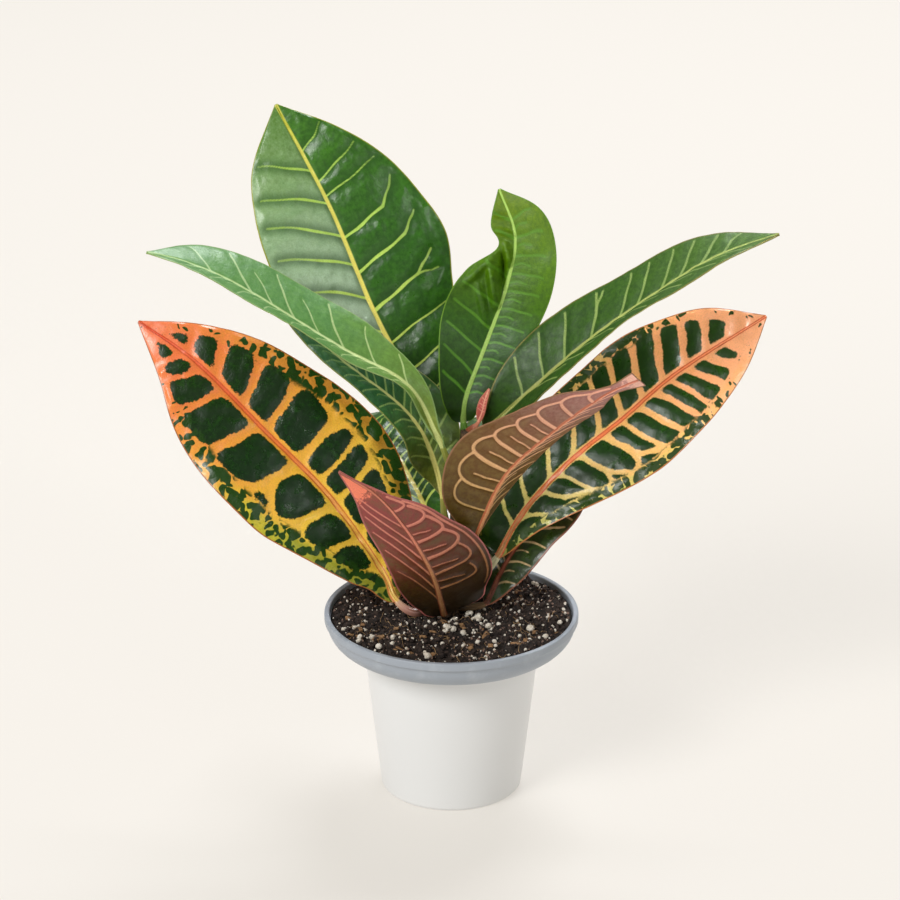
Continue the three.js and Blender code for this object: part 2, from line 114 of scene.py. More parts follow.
def walk(route: Sequence, shares: Grid) -> tuple[Grid, Grid, float]:
    """Follow a smooth route at equal distances.

    Args:
        route: The knots of the route.
        shares: Places from 0 at its start to 1 at its end, by distance.

    Returns:
        The points, the directions there and the route's length.
    """
    fine = blend(route, np.linspace(0, 1, 961))
    run = np.concatenate([[0], np.cumsum(np.linalg.norm(np.diff(fine, axis=0), axis=1))])
    goal = np.asarray(shares) * run[-1]
    slope = np.gradient(fine, run, axis=0)
    point = np.stack([np.interp(goal, run, fine[:, k]) for k in range(3)], -1)
    along = np.stack([np.interp(goal, run, slope[:, k]) for k in range(3)], -1)
    return point, unit(along), float(run[-1])


def rough(points: Grid, size: float, seed: int, octaves: int = 3) -> Grid:
    """Give smooth random values in space, from sums of slanted sine waves.

    Args:
        points: Places, in millimetres.
        size: The width of the largest bumps, in millimetres.
        seed: The start of the random draw.
        octaves: How many times the bumps are halved.

    Returns:
        A value of about -1 to 1 for each place.
    """
    random = np.random.default_rng(seed)
    total = np.zeros(points.shape[:-1])
    for octave in range(octaves):
        turns = unit(random.normal(size=(5, 3))) * (2 * math.pi * 2**octave / (2 * size))
        phases = random.uniform(0, 2 * math.pi, 5)
        for turn, phase in zip(turns, phases):
            warp = 0.7 * np.sin(points @ np.roll(turn, 1) + 2 * phase)
            total += np.sin(points @ turn + phase + warp) / 2**octave
    return total / (5 * 0.45)


def to_line(x: Grid, y: Grid, start: Sequence[float], end: Sequence[float]) -> tuple[Grid, Grid]:
    """Measure how far places are from a line.

    Args:
        x: The places' first coordinate.
        y: Their second one.
        start: Where the line starts.
        end: Where it ends.

    Returns:
        The nearest point's share of the line, and the distance to it.
    """
    way = np.array(end) - np.array(start)
    t = np.clip(((x - start[0]) * way[0] + (y - start[1]) * way[1]) / max(way @ way, 1e-9), 0, 1)
    return t, np.hypot(x - start[0] - t * way[0], y - start[1] - t * way[1])


def tube(rings: int, sides: int) -> Grid:
    """Give the quads between the rings of a tube, whose points are listed ring by ring."""
    i, k = (g.ravel() for g in np.meshgrid(np.arange(rings - 1), np.arange(sides), indexing="ij"))
    after = (k + 1) % sides
    return np.stack([i * sides + k, i * sides + after, (i + 1) * sides + after, (i + 1) * sides + k], -1)


def closed_tube(rings: int, sides: int) -> list[Grid]:
    """Give a tube's quads and the triangles of both its ends, whose middle points are listed last."""
    k, end = np.arange(sides), (rings - 1) * sides
    after = (k + 1) % sides
    middle = np.full(sides, rings * sides)
    fans = np.stack([after, k, middle], -1), np.stack([end + k, end + after, middle + 1], -1)
    return [tube(rings, sides), *fans]


@dataclass
class Skin:
    """A mesh in the making: points in millimetres, faces by corner count, and what is painted on them."""

    points: Grid
    faces: list[Grid]
    materials: tuple = ()
    face_material: Grid | None = None
    paint: dict[str, Grid] | None = None
    corner_uv: Grid | None = None

    def mesh(self, name: str) -> bpy.types.Mesh:
        """Make the bare mesh, in metres."""
        mesh = bpy.data.meshes.new(name)
        faces = [face for group in self.faces for face in group.tolist()]
        mesh.from_pydata((self.points * MM).tolist(), [], faces)
        return mesh

    def piece(self, name: str, slot: str, *stands_for: str) -> Piece:
        """Make the Blender object, ride it on the part's body and hide the CAD parts that it stands for.

        Args:
            name: The piece's name.
            slot: The record's material slot; not used.
            *stands_for: The CAD nodes that it replaces.

        Returns:
            The object, in place.
        """
        mesh = self.mesh(name)
        mesh.shade_smooth()
        if self.face_material is not None:
            mesh.polygons.foreach_set("material_index", self.face_material.astype(np.int32))
        for title, values in (self.paint or {}).items():
            kind, member = ("FLOAT", "value") if values.ndim == 1 else ("FLOAT_VECTOR", "vector")
            layer = mesh.attributes.new(title, kind, "POINT")
            layer.data.foreach_set(member, values.astype(np.float32).ravel())
        if self.corner_uv is not None:
            layer = mesh.uv_layers.new(name="OFBake")
            layer.data.foreach_set("uv", self.corner_uv.astype(np.float32).ravel())
        for material in self.materials:
            mesh.materials.append(material)
        piece = bpy.data.objects.new(name, mesh)
        bpy.context.scene.collection.objects.link(piece)
        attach(piece, BODY)
        if stands_for:
            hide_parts(*stands_for)
        log.info("%s: %d faces", name, len(mesh.polygons))
        return piece


class Side(Enum):
    """The half of a blade, seen on its upper face with the tip up."""

    LEFT = -1
    RIGHT = 1


def halves(across: Grid) -> tuple[tuple[Side, Grid], ...]:
    """Tell which columns of a blade are on each of its halves."""
    return (Side.LEFT, across < 0), (Side.RIGHT, across >= 0)


@dataclass(frozen=True)
class Vein:
    """A side vein of one half: shares of the blade where it leaves the midrib and where it ends.

    Its half-width in mm goes from root_half to end_half, and bow bends its middle towards the tip.
    root and reach are the shares across the half at its ends; a fork starts away from the midrib.
    hook, if any, turns it into a loop that runs on towards the tip.
    """

    start: float
    end: float
    root_half: float = 0.5
    end_half: float = 0.35
    bow: float = 0.0
    root: float = 0.0
    reach: float = 0.88
    hook: float = 0.0

    def line(self) -> tuple[Grid, Grid, Grid]:
        """Give shares along the blade, shares across and half-widths at nineteen points."""
        t = np.linspace(0, 1, 19)
        length, width = self.end - self.start, self.reach - self.root
        along = self.start + length * t + 4 * self.bow * t * (1 - t)
        across = self.root + width * t
        if self.hook:
            # A loop: a cubic curve with its third corner just outside the turn
            first, second, third = 3 * t * (1 - t) ** 2, 3 * t**2 * (1 - t), t**3
            along = self.start + length * (0.6 * first + second + third) + 2 * self.bow * (first + second)
            along = along + self.hook * (third + 0.1 * second)
            across = self.root + width * (0.72 * first + 1.2 * second + 0.9 * third)
        # No vein is quite straight or even
        along = along + 0.0025 * np.sin(7 * t + 90 * self.start) * np.sin(math.pi * t)
        thick = self.root_half + (self.end_half - self.root_half) * t
        return along, across, thick * (1 + 0.16 * np.sin(11 * t + 70 * self.start))


def veins(*rows: Sequence[float]) -> tuple[Vein, ...]:
    """Make the veins whose fields the rows list."""
    return tuple(Vein(*row) for row in rows)


@dataclass(frozen=True)
class Fold:
    """A crease that stands out of one half of a blade, between two places on it."""

    side: Side
    start: tuple[float, float]
    end: tuple[float, float]
    width: float
    height: float


@dataclass(frozen=True)
class Wave:
    """The waves of a blade's margin."""

    height: float
    count: float
    phase: float


@dataclass(frozen=True)
class Grain:
    """How finely a leaf is meshed and how strongly its face is quilted, in mm.

    The face that the picture hides keeps every second column. web rounds the corners between veins,
    and the rib's band and the rims are where the veins' colour runs together.
    """

    cell: float = 0.66
    upper_step: int = 1
    under_step: int = 2
    quilt: float = 0.45
    quilt_width: float = 1.9
    under_vein: float = 0.4
    crinkle: float = 0.12
    web: float = 0.2
    rib_band: tuple[float, float] = (0.0, 0.0)
    rim_left: Sequence[float] = (0.0, 0.0)
    rim_right: Sequence[float] = (0.0, 0.0)

    def pull(self, distance: Grid) -> Grid:
        """Give a value that falls off with distance, so that sums of it round the web's corners."""
        return np.exp(-np.clip(distance, -5, FAR) / self.web)


@dataclass
class Leaf:
    """One leaf: its route from the stem to the tip, its half-widths, how it faces, and its veins.

    Lengths are in mm. Lists are spaced evenly, left and right along the blade and the others along the
    whole leaf: facing is the way that the upper face looks, and fold and curl list the degrees of the
    left half, then of the right one.
    """

    name: str
    slot: str
    route: Sequence
    left: Sequence[float]
    right: Sequence[float]
    facing: Sequence
    fold: Sequence[Sequence[float]]
    curl: Sequence[Sequence[float]]
    wave: Wave
    stalk: float = 0.12
    radius: float = 1.9
    veins_left: Sequence[Vein] = ()
    veins_right: Sequence[Vein] = ()
    folds: Sequence[Fold] = ()
    grain: Grain = Grain()
    rib: tuple[float, float] = (1.15, 0.4)
    rib_proud: float = 0.25
    base_round: float = 0.035
    thickness: float = 0.8
    edge: float = 0.5
    arc: int = 3

    @property
    def stalk_end(self) -> float:
        """The stalk's radius where the blade begins."""
        return 0.75 * self.radius

    def shares(self, length: float) -> Grid:
        """Give the mesh's rows as shares of the leaf's length, closer on the blade."""
        bare = np.linspace(0, self.stalk, max(int(self.stalk * length / (1.6 * self.grain.cell)), 4))
        wide = np.linspace(self.stalk, 1, max(int((1 - self.stalk) * length / self.grain.cell), 8))
        return np.concatenate([bare[:-1], wide])

    def half_width(self, side: Side, blade: Grid) -> Grid:
        """Give the half's width, rounded off where the blade leaves the stalk."""
        stalk = self.stalk_end
        full = np.maximum(blend(self.left if side is Side.LEFT else self.right, blade), 0.4)
        ramp = np.sqrt(np.clip(1 - (1 - np.clip(blade / self.base_round, 0, 1)) ** 2, 0, 1))
        rounded = stalk + (np.maximum(full, stalk) - stalk) * ramp
        return np.where(blade <= 0, stalk, np.where(blade < 0.5, rounded, full))

    def vein_distance(self, side: Side, along: Grid, across: Grid) -> tuple[Grid, Grid]:
        """Measure how far places on one half are from its veins.

        Args:
            side: The half.
            along: Distances from the blade's base, in mm.
            across: Distances from the midrib, in mm.

        Returns:
            The distance to the nearest vein's middle, and to the side of the web that the veins make
            with the rib's band and the rim, rounded where they meet, in mm.
        """
        grain, left = self.grain, side is Side.LEFT
        length = along.max()
        blade = along / length
        middle = np.full(along.shape, FAR)
        band = grain.rib_band[0] + (grain.rib_band[1] - grain.rib_band[0]) * blade
        rim = blend(grain.rim_left if left else grain.rim_right, blade)
        margin = self.half_width(side, blade) - across
        webbed = grain.pull(margin - rim) * (rim > 0.01) + grain.pull(across - band) * (band > 0.01)
        for vein in self.veins_left if left else self.veins_right:
            shares, reach, thick = vein.line()
            x = shares * length
            y = reach * self.half_width(side, shares)
            beside = np.full(along.shape, FAR)
            for i in range(len(x) - 1):
                t, far = to_line(along, across, (x[i], y[i]), (x[i + 1], y[i + 1]))
                middle = np.minimum(middle, far)
                beside = np.minimum(beside, far - (thick[i] + (thick[i + 1] - thick[i]) * t))
            webbed += grain.pull(beside)
        return middle, -grain.web * np.log(np.maximum(webbed, 1e-30))

    def sheet(self, blade: Grid, shares: Grid, across: Grid, length: float) -> tuple[Grid, Grid]:
        """Lay out the middle of the leaf.

        Args:
            blade: The rows' shares of the blade, 0 on the stalk.
            shares: The rows' shares of the whole leaf.
            across: The columns, from -1 at the left margin to 1 at the right one.
            length: The leaf's length in mm.

        Returns:
            The points and the half-widths that belong to them.
        """
        point, along, _ = walk(self.route, shares)
        aside = unit(np.cross(along, blend(self.facing, shares)))
        normal = unit(np.cross(aside, along))
        points = np.zeros((len(shares), len(across), 3))
        widths = np.zeros((len(shares), len(across)))
        on_blade = ease(0, 0.06, blade)[:, None]
        run = blade[:, None] * length * (1 - self.stalk)
        for side, columns in halves(across):
            v = np.abs(across[columns])[None, :]
            width = self.half_width(side, blade)[:, None]
            right = int(side is Side.RIGHT)
            fold = np.radians(blend(self.fold[right], shares))[:, None] * on_blade
            bend = np.radians(blend(self.curl[right], shares))[:, None] * v * on_blade
            bend = np.where(np.abs(bend) < 1e-4, 1e-4, bend)
            out = width * v / bend * (np.sin(fold) - np.sin(fold - bend))
            up = width * v / bend * (np.cos(fold - bend) - np.cos(fold))
            # The fold is rounded over 0.9 mm beside the rib
            soft = 0.9 / width
            up = up * (np.sqrt(v**2 + soft**2) - soft) / np.maximum(v, 1e-6)
            turn = self.wave.count * blade + self.wave.phase + 0.25 * side.value
            swell = np.sin(2 * math.pi * turn)[:, None] * np.sin(math.pi * blade)[:, None]
            up = up + self.wave.height * v**2 * swell
            for crease in self.folds:
                if crease.side is side:
                    up = up + self.crease(crease, run, v * width, length * (1 - self.stalk))
            shift = aside[:, None] * (side.value * out)[..., None] + normal[:, None] * up[..., None]
            points[:, columns] = point[:, None] + shift
            widths[:, columns] = width
        return points, widths

    def crease(self, fold: Fold, along: Grid, across: Grid, length: float) -> Grid:
        """Give how far a fold lifts each place of its half, in mm, on a blade of a length."""
        start, end = (
            (share * length, reach * float(self.half_width(fold.side, np.array([share]))[0]))
            for share, reach in (fold.start, fold.end)
        )
        t, far = to_line(along, across, start, end)
        return fold.height * np.exp(-((far / fold.width) ** 2)) * np.clip(1.4 - np.abs(2 * t - 1), 0, 1)

    def build(self, stem: "Stem", upper: Material, under: Material) -> Piece:
        """Mesh the leaf as one closed sheet with two faces and stand it in the stem.

        Args:
            stem: The stem that carries it.
            upper: The material of its upper face.
            under: The material of its underside.

        Returns:
            The piece.
        """
        length = walk(self.route, np.array([0.0]))[2]
        shares = self.shares(length)
        blade = np.clip((shares - self.stalk) / (1 - self.stalk), 0, 1)
        half = max(int(max(*self.left, *self.right) / self.grain.cell), 6)
        # The columns lie closer beside the midrib
        s = np.linspace(0, 1, half + 1) ** 1.12
        across = np.concatenate([-s[:0:-1], s])
        middle, widths = self.sheet(blade, shares, across, length)
        # The stalk runs on to the stem's axis
        root = stem.axis_at(middle[0, half, 2])
        sunk = np.linspace(0, 1, 6)[:-1, None, None]
        lead_in = root + (middle[0, half] - root) * sunk + (middle[:1] - middle[0, half])
        rows = len(lead_in)
        middle = np.concatenate([lead_in, middle])
        widths = np.concatenate([np.repeat(widths[:1], rows, 0), widths])
        blade, shares = (np.concatenate([np.zeros(rows), rise])[:, None] for rise in (blade, shares))
        v = np.abs(across)[None, :]
        run = blade * length * (1 - self.stalk) + 0 * v
        rib_side = across[None, :] * widths
        near, beside = (np.full(run.shape, FAR) for _ in range(2))
        for side, columns in halves(across):
            near[:, columns], beside[:, columns] = self.vein_distance(
                side, run[:, columns], np.abs(rib_side[:, columns])
            )
        radius = self.rib_radius(blade, shares, length)
        paint = {
            "run": np.repeat(blade + np.minimum(shares / self.stalk - 1, 0), len(across), 1),
            "across": across[None, :] + 0 * run,
            "rib": rib_side,
            "rib_thick": np.repeat(radius, len(across), 1),
            "web": beside,
            "edge": np.minimum(widths * (1 - v), (1 - blade) * length + 0.5),
        }
        normal = unit(np.cross(np.gradient(middle, axis=1), np.gradient(middle, axis=0)))
        above, below = self.relief(middle, blade, v, radius, np.abs(rib_side), near)
        return self.close(middle, normal, above, below, (upper, under), paint, run)

    def rib_radius(self, blade: Grid, shares: Grid, length: float) -> Grid:
        """Give the radius of the stalk and of the rib, which swells where it joins the stem."""
        stalk = self.radius * (1 - 0.25 * np.clip(shares / self.stalk, 0, 1))
        end = self.stalk_end
        radius = np.where(blade > 0, end + (self.rib[1] - end) * blade**0.7, stalk)
        return radius * (1 + 0.3 * np.exp(-shares * length / 3))

    def relief(
        self, middle: Grid, blade: Grid, v: Grid, radius: Grid, far: Grid, near: Grid
    ) -> tuple[Grid, Grid]:
        """Give how far the upper face stands above the leaf's middle and the underside lies below it.

        Args:
            middle: The middle points of the leaf.
            blade: The rows' shares of the blade, 0 on the stalk.
            v: How far across its half each column is, from 0 to 1.
            radius: The rows' radius of the stalk or the rib.
            far: Distances from the midrib, in mm.
            near: Distances from the nearest vein, in mm.

        Returns:
            Both distances, in mm.
        """
        grain = self.grain
        stalkness = 1 - ease(0, 0.05, blade)
        flatness = 1 - stalkness
        dome = radius * np.sqrt(np.clip(1 - (far / np.maximum(radius, 1e-6)) ** 2, 0, 1))
        thick = (self.edge + (self.thickness - self.edge) * (1 - v)) / 2
        # The panels between the veins flatten out beside the rib and the margin
        panel = ease(0, 0.1, v) * ease(1, 0.86, v) * flatness
        quilt = grain.quilt * panel * (1 - np.exp(-((np.minimum(near, 12) / grain.quilt_width) ** 2)))
        crinkle = grain.crinkle * rough(middle, 7, len(self.name), 2) * flatness
        rib_top = np.clip(self.rib_proud * (1 - blade), 0.06, 1) * np.exp(-((far / (0.9 * radius)) ** 2))
        groove = 0.3 * np.exp(-((far / 0.45) ** 2)) * stalkness
        above = thick * flatness + 0.8 * dome * stalkness + (rib_top + quilt) * flatness - groove
        veins_below = grain.under_vein * np.exp(-((near / 0.75) ** 2)) * panel * (1 - 0.5 * v)
        below = thick * flatness + dome * (stalkness + flatness * 0.9) + veins_below - 0.8 * quilt
        below = np.maximum(below, np.where(blade > 0, 0.12, 0.2))
        return above + crinkle, below - crinkle

    def close(
        self, middle: Grid, normal: Grid, above: Grid, below: Grid, faces: tuple, paint: dict[str, Grid],
        run: Grid,
    ) -> Piece:
        """Join the two faces round the margins and at both ends, with their marks and texture space.

        Args:
            middle: The middle points of the leaf.
            normal: The way its upper face looks.
            above: How far the upper face stands above the middle.
            below: How far the underside lies below it.
            faces: The materials of the upper face and the underside.
            paint: The values that the materials read, by name.
            run: Distances from the blade's base, in mm.

        Returns:
            The piece.
        """
        rows, wide = middle.shape[:2]
        over, lower = (self.columns(wide, step) for step in (self.grain.upper_step, self.grain.under_step))
        top = middle + normal * above[..., None]
        bottom = middle - normal * below[..., None]
        rims = []
        for column, way in ((wide - 1, 1), (0, -1)):
            aside = unit(middle[:, column] - middle[:, column - way])
            thick = (above[:, column] + below[:, column]) / 2
            centre = (top[:, column] + bottom[:, column]) / 2
            turns = way * np.linspace(math.pi / 2, -math.pi / 2, self.arc + 2)[1:-1]
            out = [aside * math.cos(turn) + normal[:, column] * math.sin(turn) for turn in turns]
            rims.append(np.stack([centre + thick[:, None] * way_out for way_out in out], 1))
        ring = np.concatenate([top[:, over], rims[0], bottom[:, lower[::-1]], rims[1]], 1)
        count = ring.shape[1]
        last = np.full(self.arc, wide - 1)
        source = np.concatenate([over, last, lower[::-1], 0 * last])
        flat = np.stack([run, paint["rib"], 0 * run], -1)
        marks = {}
        for title, values in {"flat": flat, **paint}.items():
            values = values[:, source]
            listed = values.reshape(-1, *values.shape[2:])
            marks[title] = np.concatenate([listed, [values[0, 0], values[-1, 0]]])
        points = np.concatenate([ring.reshape(-1, 3), [ring[0].mean(0), ring[-1].mean(0)]])
        quads, *ends = closed_tube(rows, count)
        first, after = len(over) + self.arc // 2, count - self.arc // 2 - 1
        k = np.arange(count)
        is_under = (k >= first) & (k < after)
        materials = np.concatenate([is_under[quads[:, 0] % count], is_under, is_under])
        corner_uv = self.texture_space(quads, count, is_under)
        skin = Skin(points, [quads, *ends], faces, materials, marks, corner_uv)
        return skin.piece(f"{self.name}_blade", self.slot, self.name)

    @staticmethod
    def columns(wide: int, step: int) -> Grid:
        """Choose the columns of one face, with the rib and both margins among them."""
        return np.unique(np.r_[0, np.arange(wide // 2 % step, wide, step), wide - 1])

    @staticmethod
    def texture_space(quads: Grid, count: int, is_under: Grid) -> Grid:
        """Unroll the faces: the upper face into the left half of the square, the underside into the right.

        Args:
            quads: The faces between the rings.
            count: How many faces each ring has.
            is_under: Whether each of them is on the underside.

        Returns:
            The places of every face's corners.
        """
        under = np.flatnonzero(is_under)
        upper = np.r_[under[-1] + 1 : count, 0 : under[0]]
        left = np.zeros(count)
        step = np.zeros(count)
        for columns, start in ((upper, 0.008), (under, 0.508)):
            step[columns] = 0.484 / len(columns)
            left[columns] = start + step[columns] * np.arange(len(columns))
        right = left + step
        row, k = quads[:, 0] // count, quads[:, 0] % count
        rows = row.max() + 1
        low, high = 0.012 + 0.97 * row / rows, 0.012 + 0.97 * (row + 1) / rows
        corners = [(left[k], low), (right[k], low), (right[k], high), (left[k], high)]
        places = [np.stack([np.stack(corner, -1) for corner in corners], 1).reshape(-1, 2)]
        for a, b, base, peak in ((right, left, 0.01, 0.002), (left, right, 0.984, 0.994)):
            base, peak = np.full(count, base), np.full(count, peak)
            fan = [(a, base), (b, base), ((a + b) / 2, peak)]
            places.append(np.stack([np.stack(corner, -1) for corner in fan], 1).reshape(-1, 2))
        return np.concatenate(places)


class Node(Enum):
    """The shader nodes in use: each one's type, its inputs in order, its output and its settings."""

    PAINTED = ("Attribute", (), "Fac", {})
    OBJECT_SPACE = ("TexCoord", (), "Object", {})
    STRETCH = ("Mapping", ("Vector", "Scale"), 0, {"vector_type": "POINT"})
    NOISE = ("TexNoise", ("Vector", "Scale", "Detail", "Roughness"), 0, {})
    CELLS = ("TexVoronoi", ("Vector", "Scale", "Smoothness"), 0, {})
    SHIFT = ("VectorMath", (0, 1, 2), 0, {"operation": "MULTIPLY_ADD"})
    SUM = ("Math", (0, 1, 2), 0, {"operation": "MULTIPLY_ADD"})
    LESS = ("Math", (0, 1), 0, {"operation": "SUBTRACT"})
    PRODUCT = ("Math", (0, 1), 0, {"operation": "MULTIPLY"})
    SIZE = ("Math", (0,), 0, {"operation": "ABSOLUTE"})
    SPAN = ("MapRange", (0, 1, 2, 3, 4), 0, {"interpolation_type": "SMOOTHSTEP"})
    RAMP = ("ValToRGB", (0,), 0, {})
    LAYER = ("Mix", (0, 6, 7), 2, {"data_type": "RGBA"})
    TONE = ("HueSaturation", ("Color", "Value"), 0, {})
    BUMP = ("Bump", ("Height", "Distance"), 0, {})
    RAYS = ("LightPath", (), 0, {})


class Wiring:
    """A node tree in the making, which ends in a shader that is there from the start."""

    def __init__(self, owner: Material | bpy.types.World, shader: str) -> None:
        """Take the node tree of a material or a world, and its shader by name."""
        owner.use_nodes = True
        self.tree = owner.node_tree
        self.shader = self.tree.nodes[shader]

    def put(self, values: dict, node: bpy.types.Node | None = None) -> None:
        """Set a node's inputs, the shader's if none is named.

        Args:
            values: A plain value, a hex colour or another node's output for each input.
            node: The node.
        """
        for title, value in values.items():
            socket = (node or self.shader).inputs[title]
            if isinstance(value, Socket):
                self.tree.links.new(value, socket)
            else:
                socket.default_value = linear(value) if isinstance(value, str) else value

    def add(self, kind: Node, *inputs: object, out: str = "", stops: Stops = (), **settings) -> Socket:
        """Add a node with its settings and links.

        Args:
            kind: The kind of node.
            *inputs: Its inputs in the kind's order, as put takes them.
            out: The output that the caller goes on with, if not the kind's usual one.
            stops: A colour ramp's places and colours, or colours alone where they are spread evenly.
            **settings: The node's own settings.

        Returns:
            The chosen output.
        """
        title, order, usual, fixed = kind.value
        node = self.tree.nodes.new("ShaderNode" + title)
        for setting, value in {**fixed, **settings}.items():
            setattr(node, setting, value)
        self.put(dict(zip(order, inputs)), node)
        if stops:
            ramp = node.color_ramp.elements
            for _ in stops[2:]:
                ramp.new(0.5)
            for i, (element, stop) in enumerate(zip(ramp, stops)):
                place, colour = (i / (len(stops) - 1), stop) if isinstance(stop, str) else stop
                element.position, element.color = place, linear(colour)
        return node.outputs[out or usual]


class Finish(Wiring):
    """A dielectric material in the making."""

    def __init__(self, name: str, roughness: float, ior: float, coat: float = 0.0) -> None:
        """Start the material.

        Args:
            name: What the real material is.
            roughness: The shader's own roughness.
            ior: The material's index of refraction.
            coat: The weight of a clear film over it.
        """
        self.material = bpy.data.materials.new(name)
        super().__init__(self.material, "Principled BSDF")
        self.put({"Roughness": roughness, "IOR": ior, "Coat Weight": coat, "Coat Roughness": 0.22})

    def shifted(self, value: Socket, noise: Socket, by: float) -> Socket:
        """Shift a value by noise, half of it either way."""
        return self.add(Node.SUM, noise, by, self.add(Node.SUM, value, 1.0, -by / 2))

    def dress(self, height: Socket, depth: float, looks: dict | None = None) -> Material:
        """Raise a fine relief, set the shader's inputs and hand the material over.

        Args:
            height: The relief, from 0 to 1.
            depth: How far a height of 1 stands out, in mm.
            looks: What the shader's other inputs take.

        Returns:
            The material.
        """
        self.put({**(looks or {}), "Normal": self.add(Node.BUMP, height, depth * MM)})
        return self.material


class Cuticle(Finish):
    """A leaf's finish, with what its mesh tells it and the drift of its pigment.

    run goes from the blade's base at 0 to its tip at 1, across from -1 to 1, and the rest is in mm.
    """

    def __init__(self, name: str, gloss: float, coat: float) -> None:
        """Start the material, read the painted values and lay noise over them."""
        super().__init__(name, gloss, 1.45, coat)
        titles = ("run", "across", "web", "rib", "rib_thick", "edge")
        painted = (self.add(Node.PAINTED, attribute_name=title) for title in titles)
        self.run, self.across, self.web, self.rib, self.thick, self.edge = painted
        self.flat = self.add(Node.PAINTED, attribute_name="flat", out="Vector")
        # Pigment drifts over about 7 mm, veins wander over 2.2 mm, and cells show as specks of 0.8 mm
        self.cloud = self.add(Node.NOISE, self.flat, 1 / 7, 4.0, 0.6)
        self.speck = self.add(Node.NOISE, self.flat, 1 / 0.8, 2.0, 0.6)
        self.wander = self.add(Node.NOISE, self.flat, 1 / 2.2, 3.0, 0.65)
        self.drift = self.shifted(self.run, self.cloud, 0.2)
        self.near_edge = self.shifted(self.edge, self.wander, 4.0)


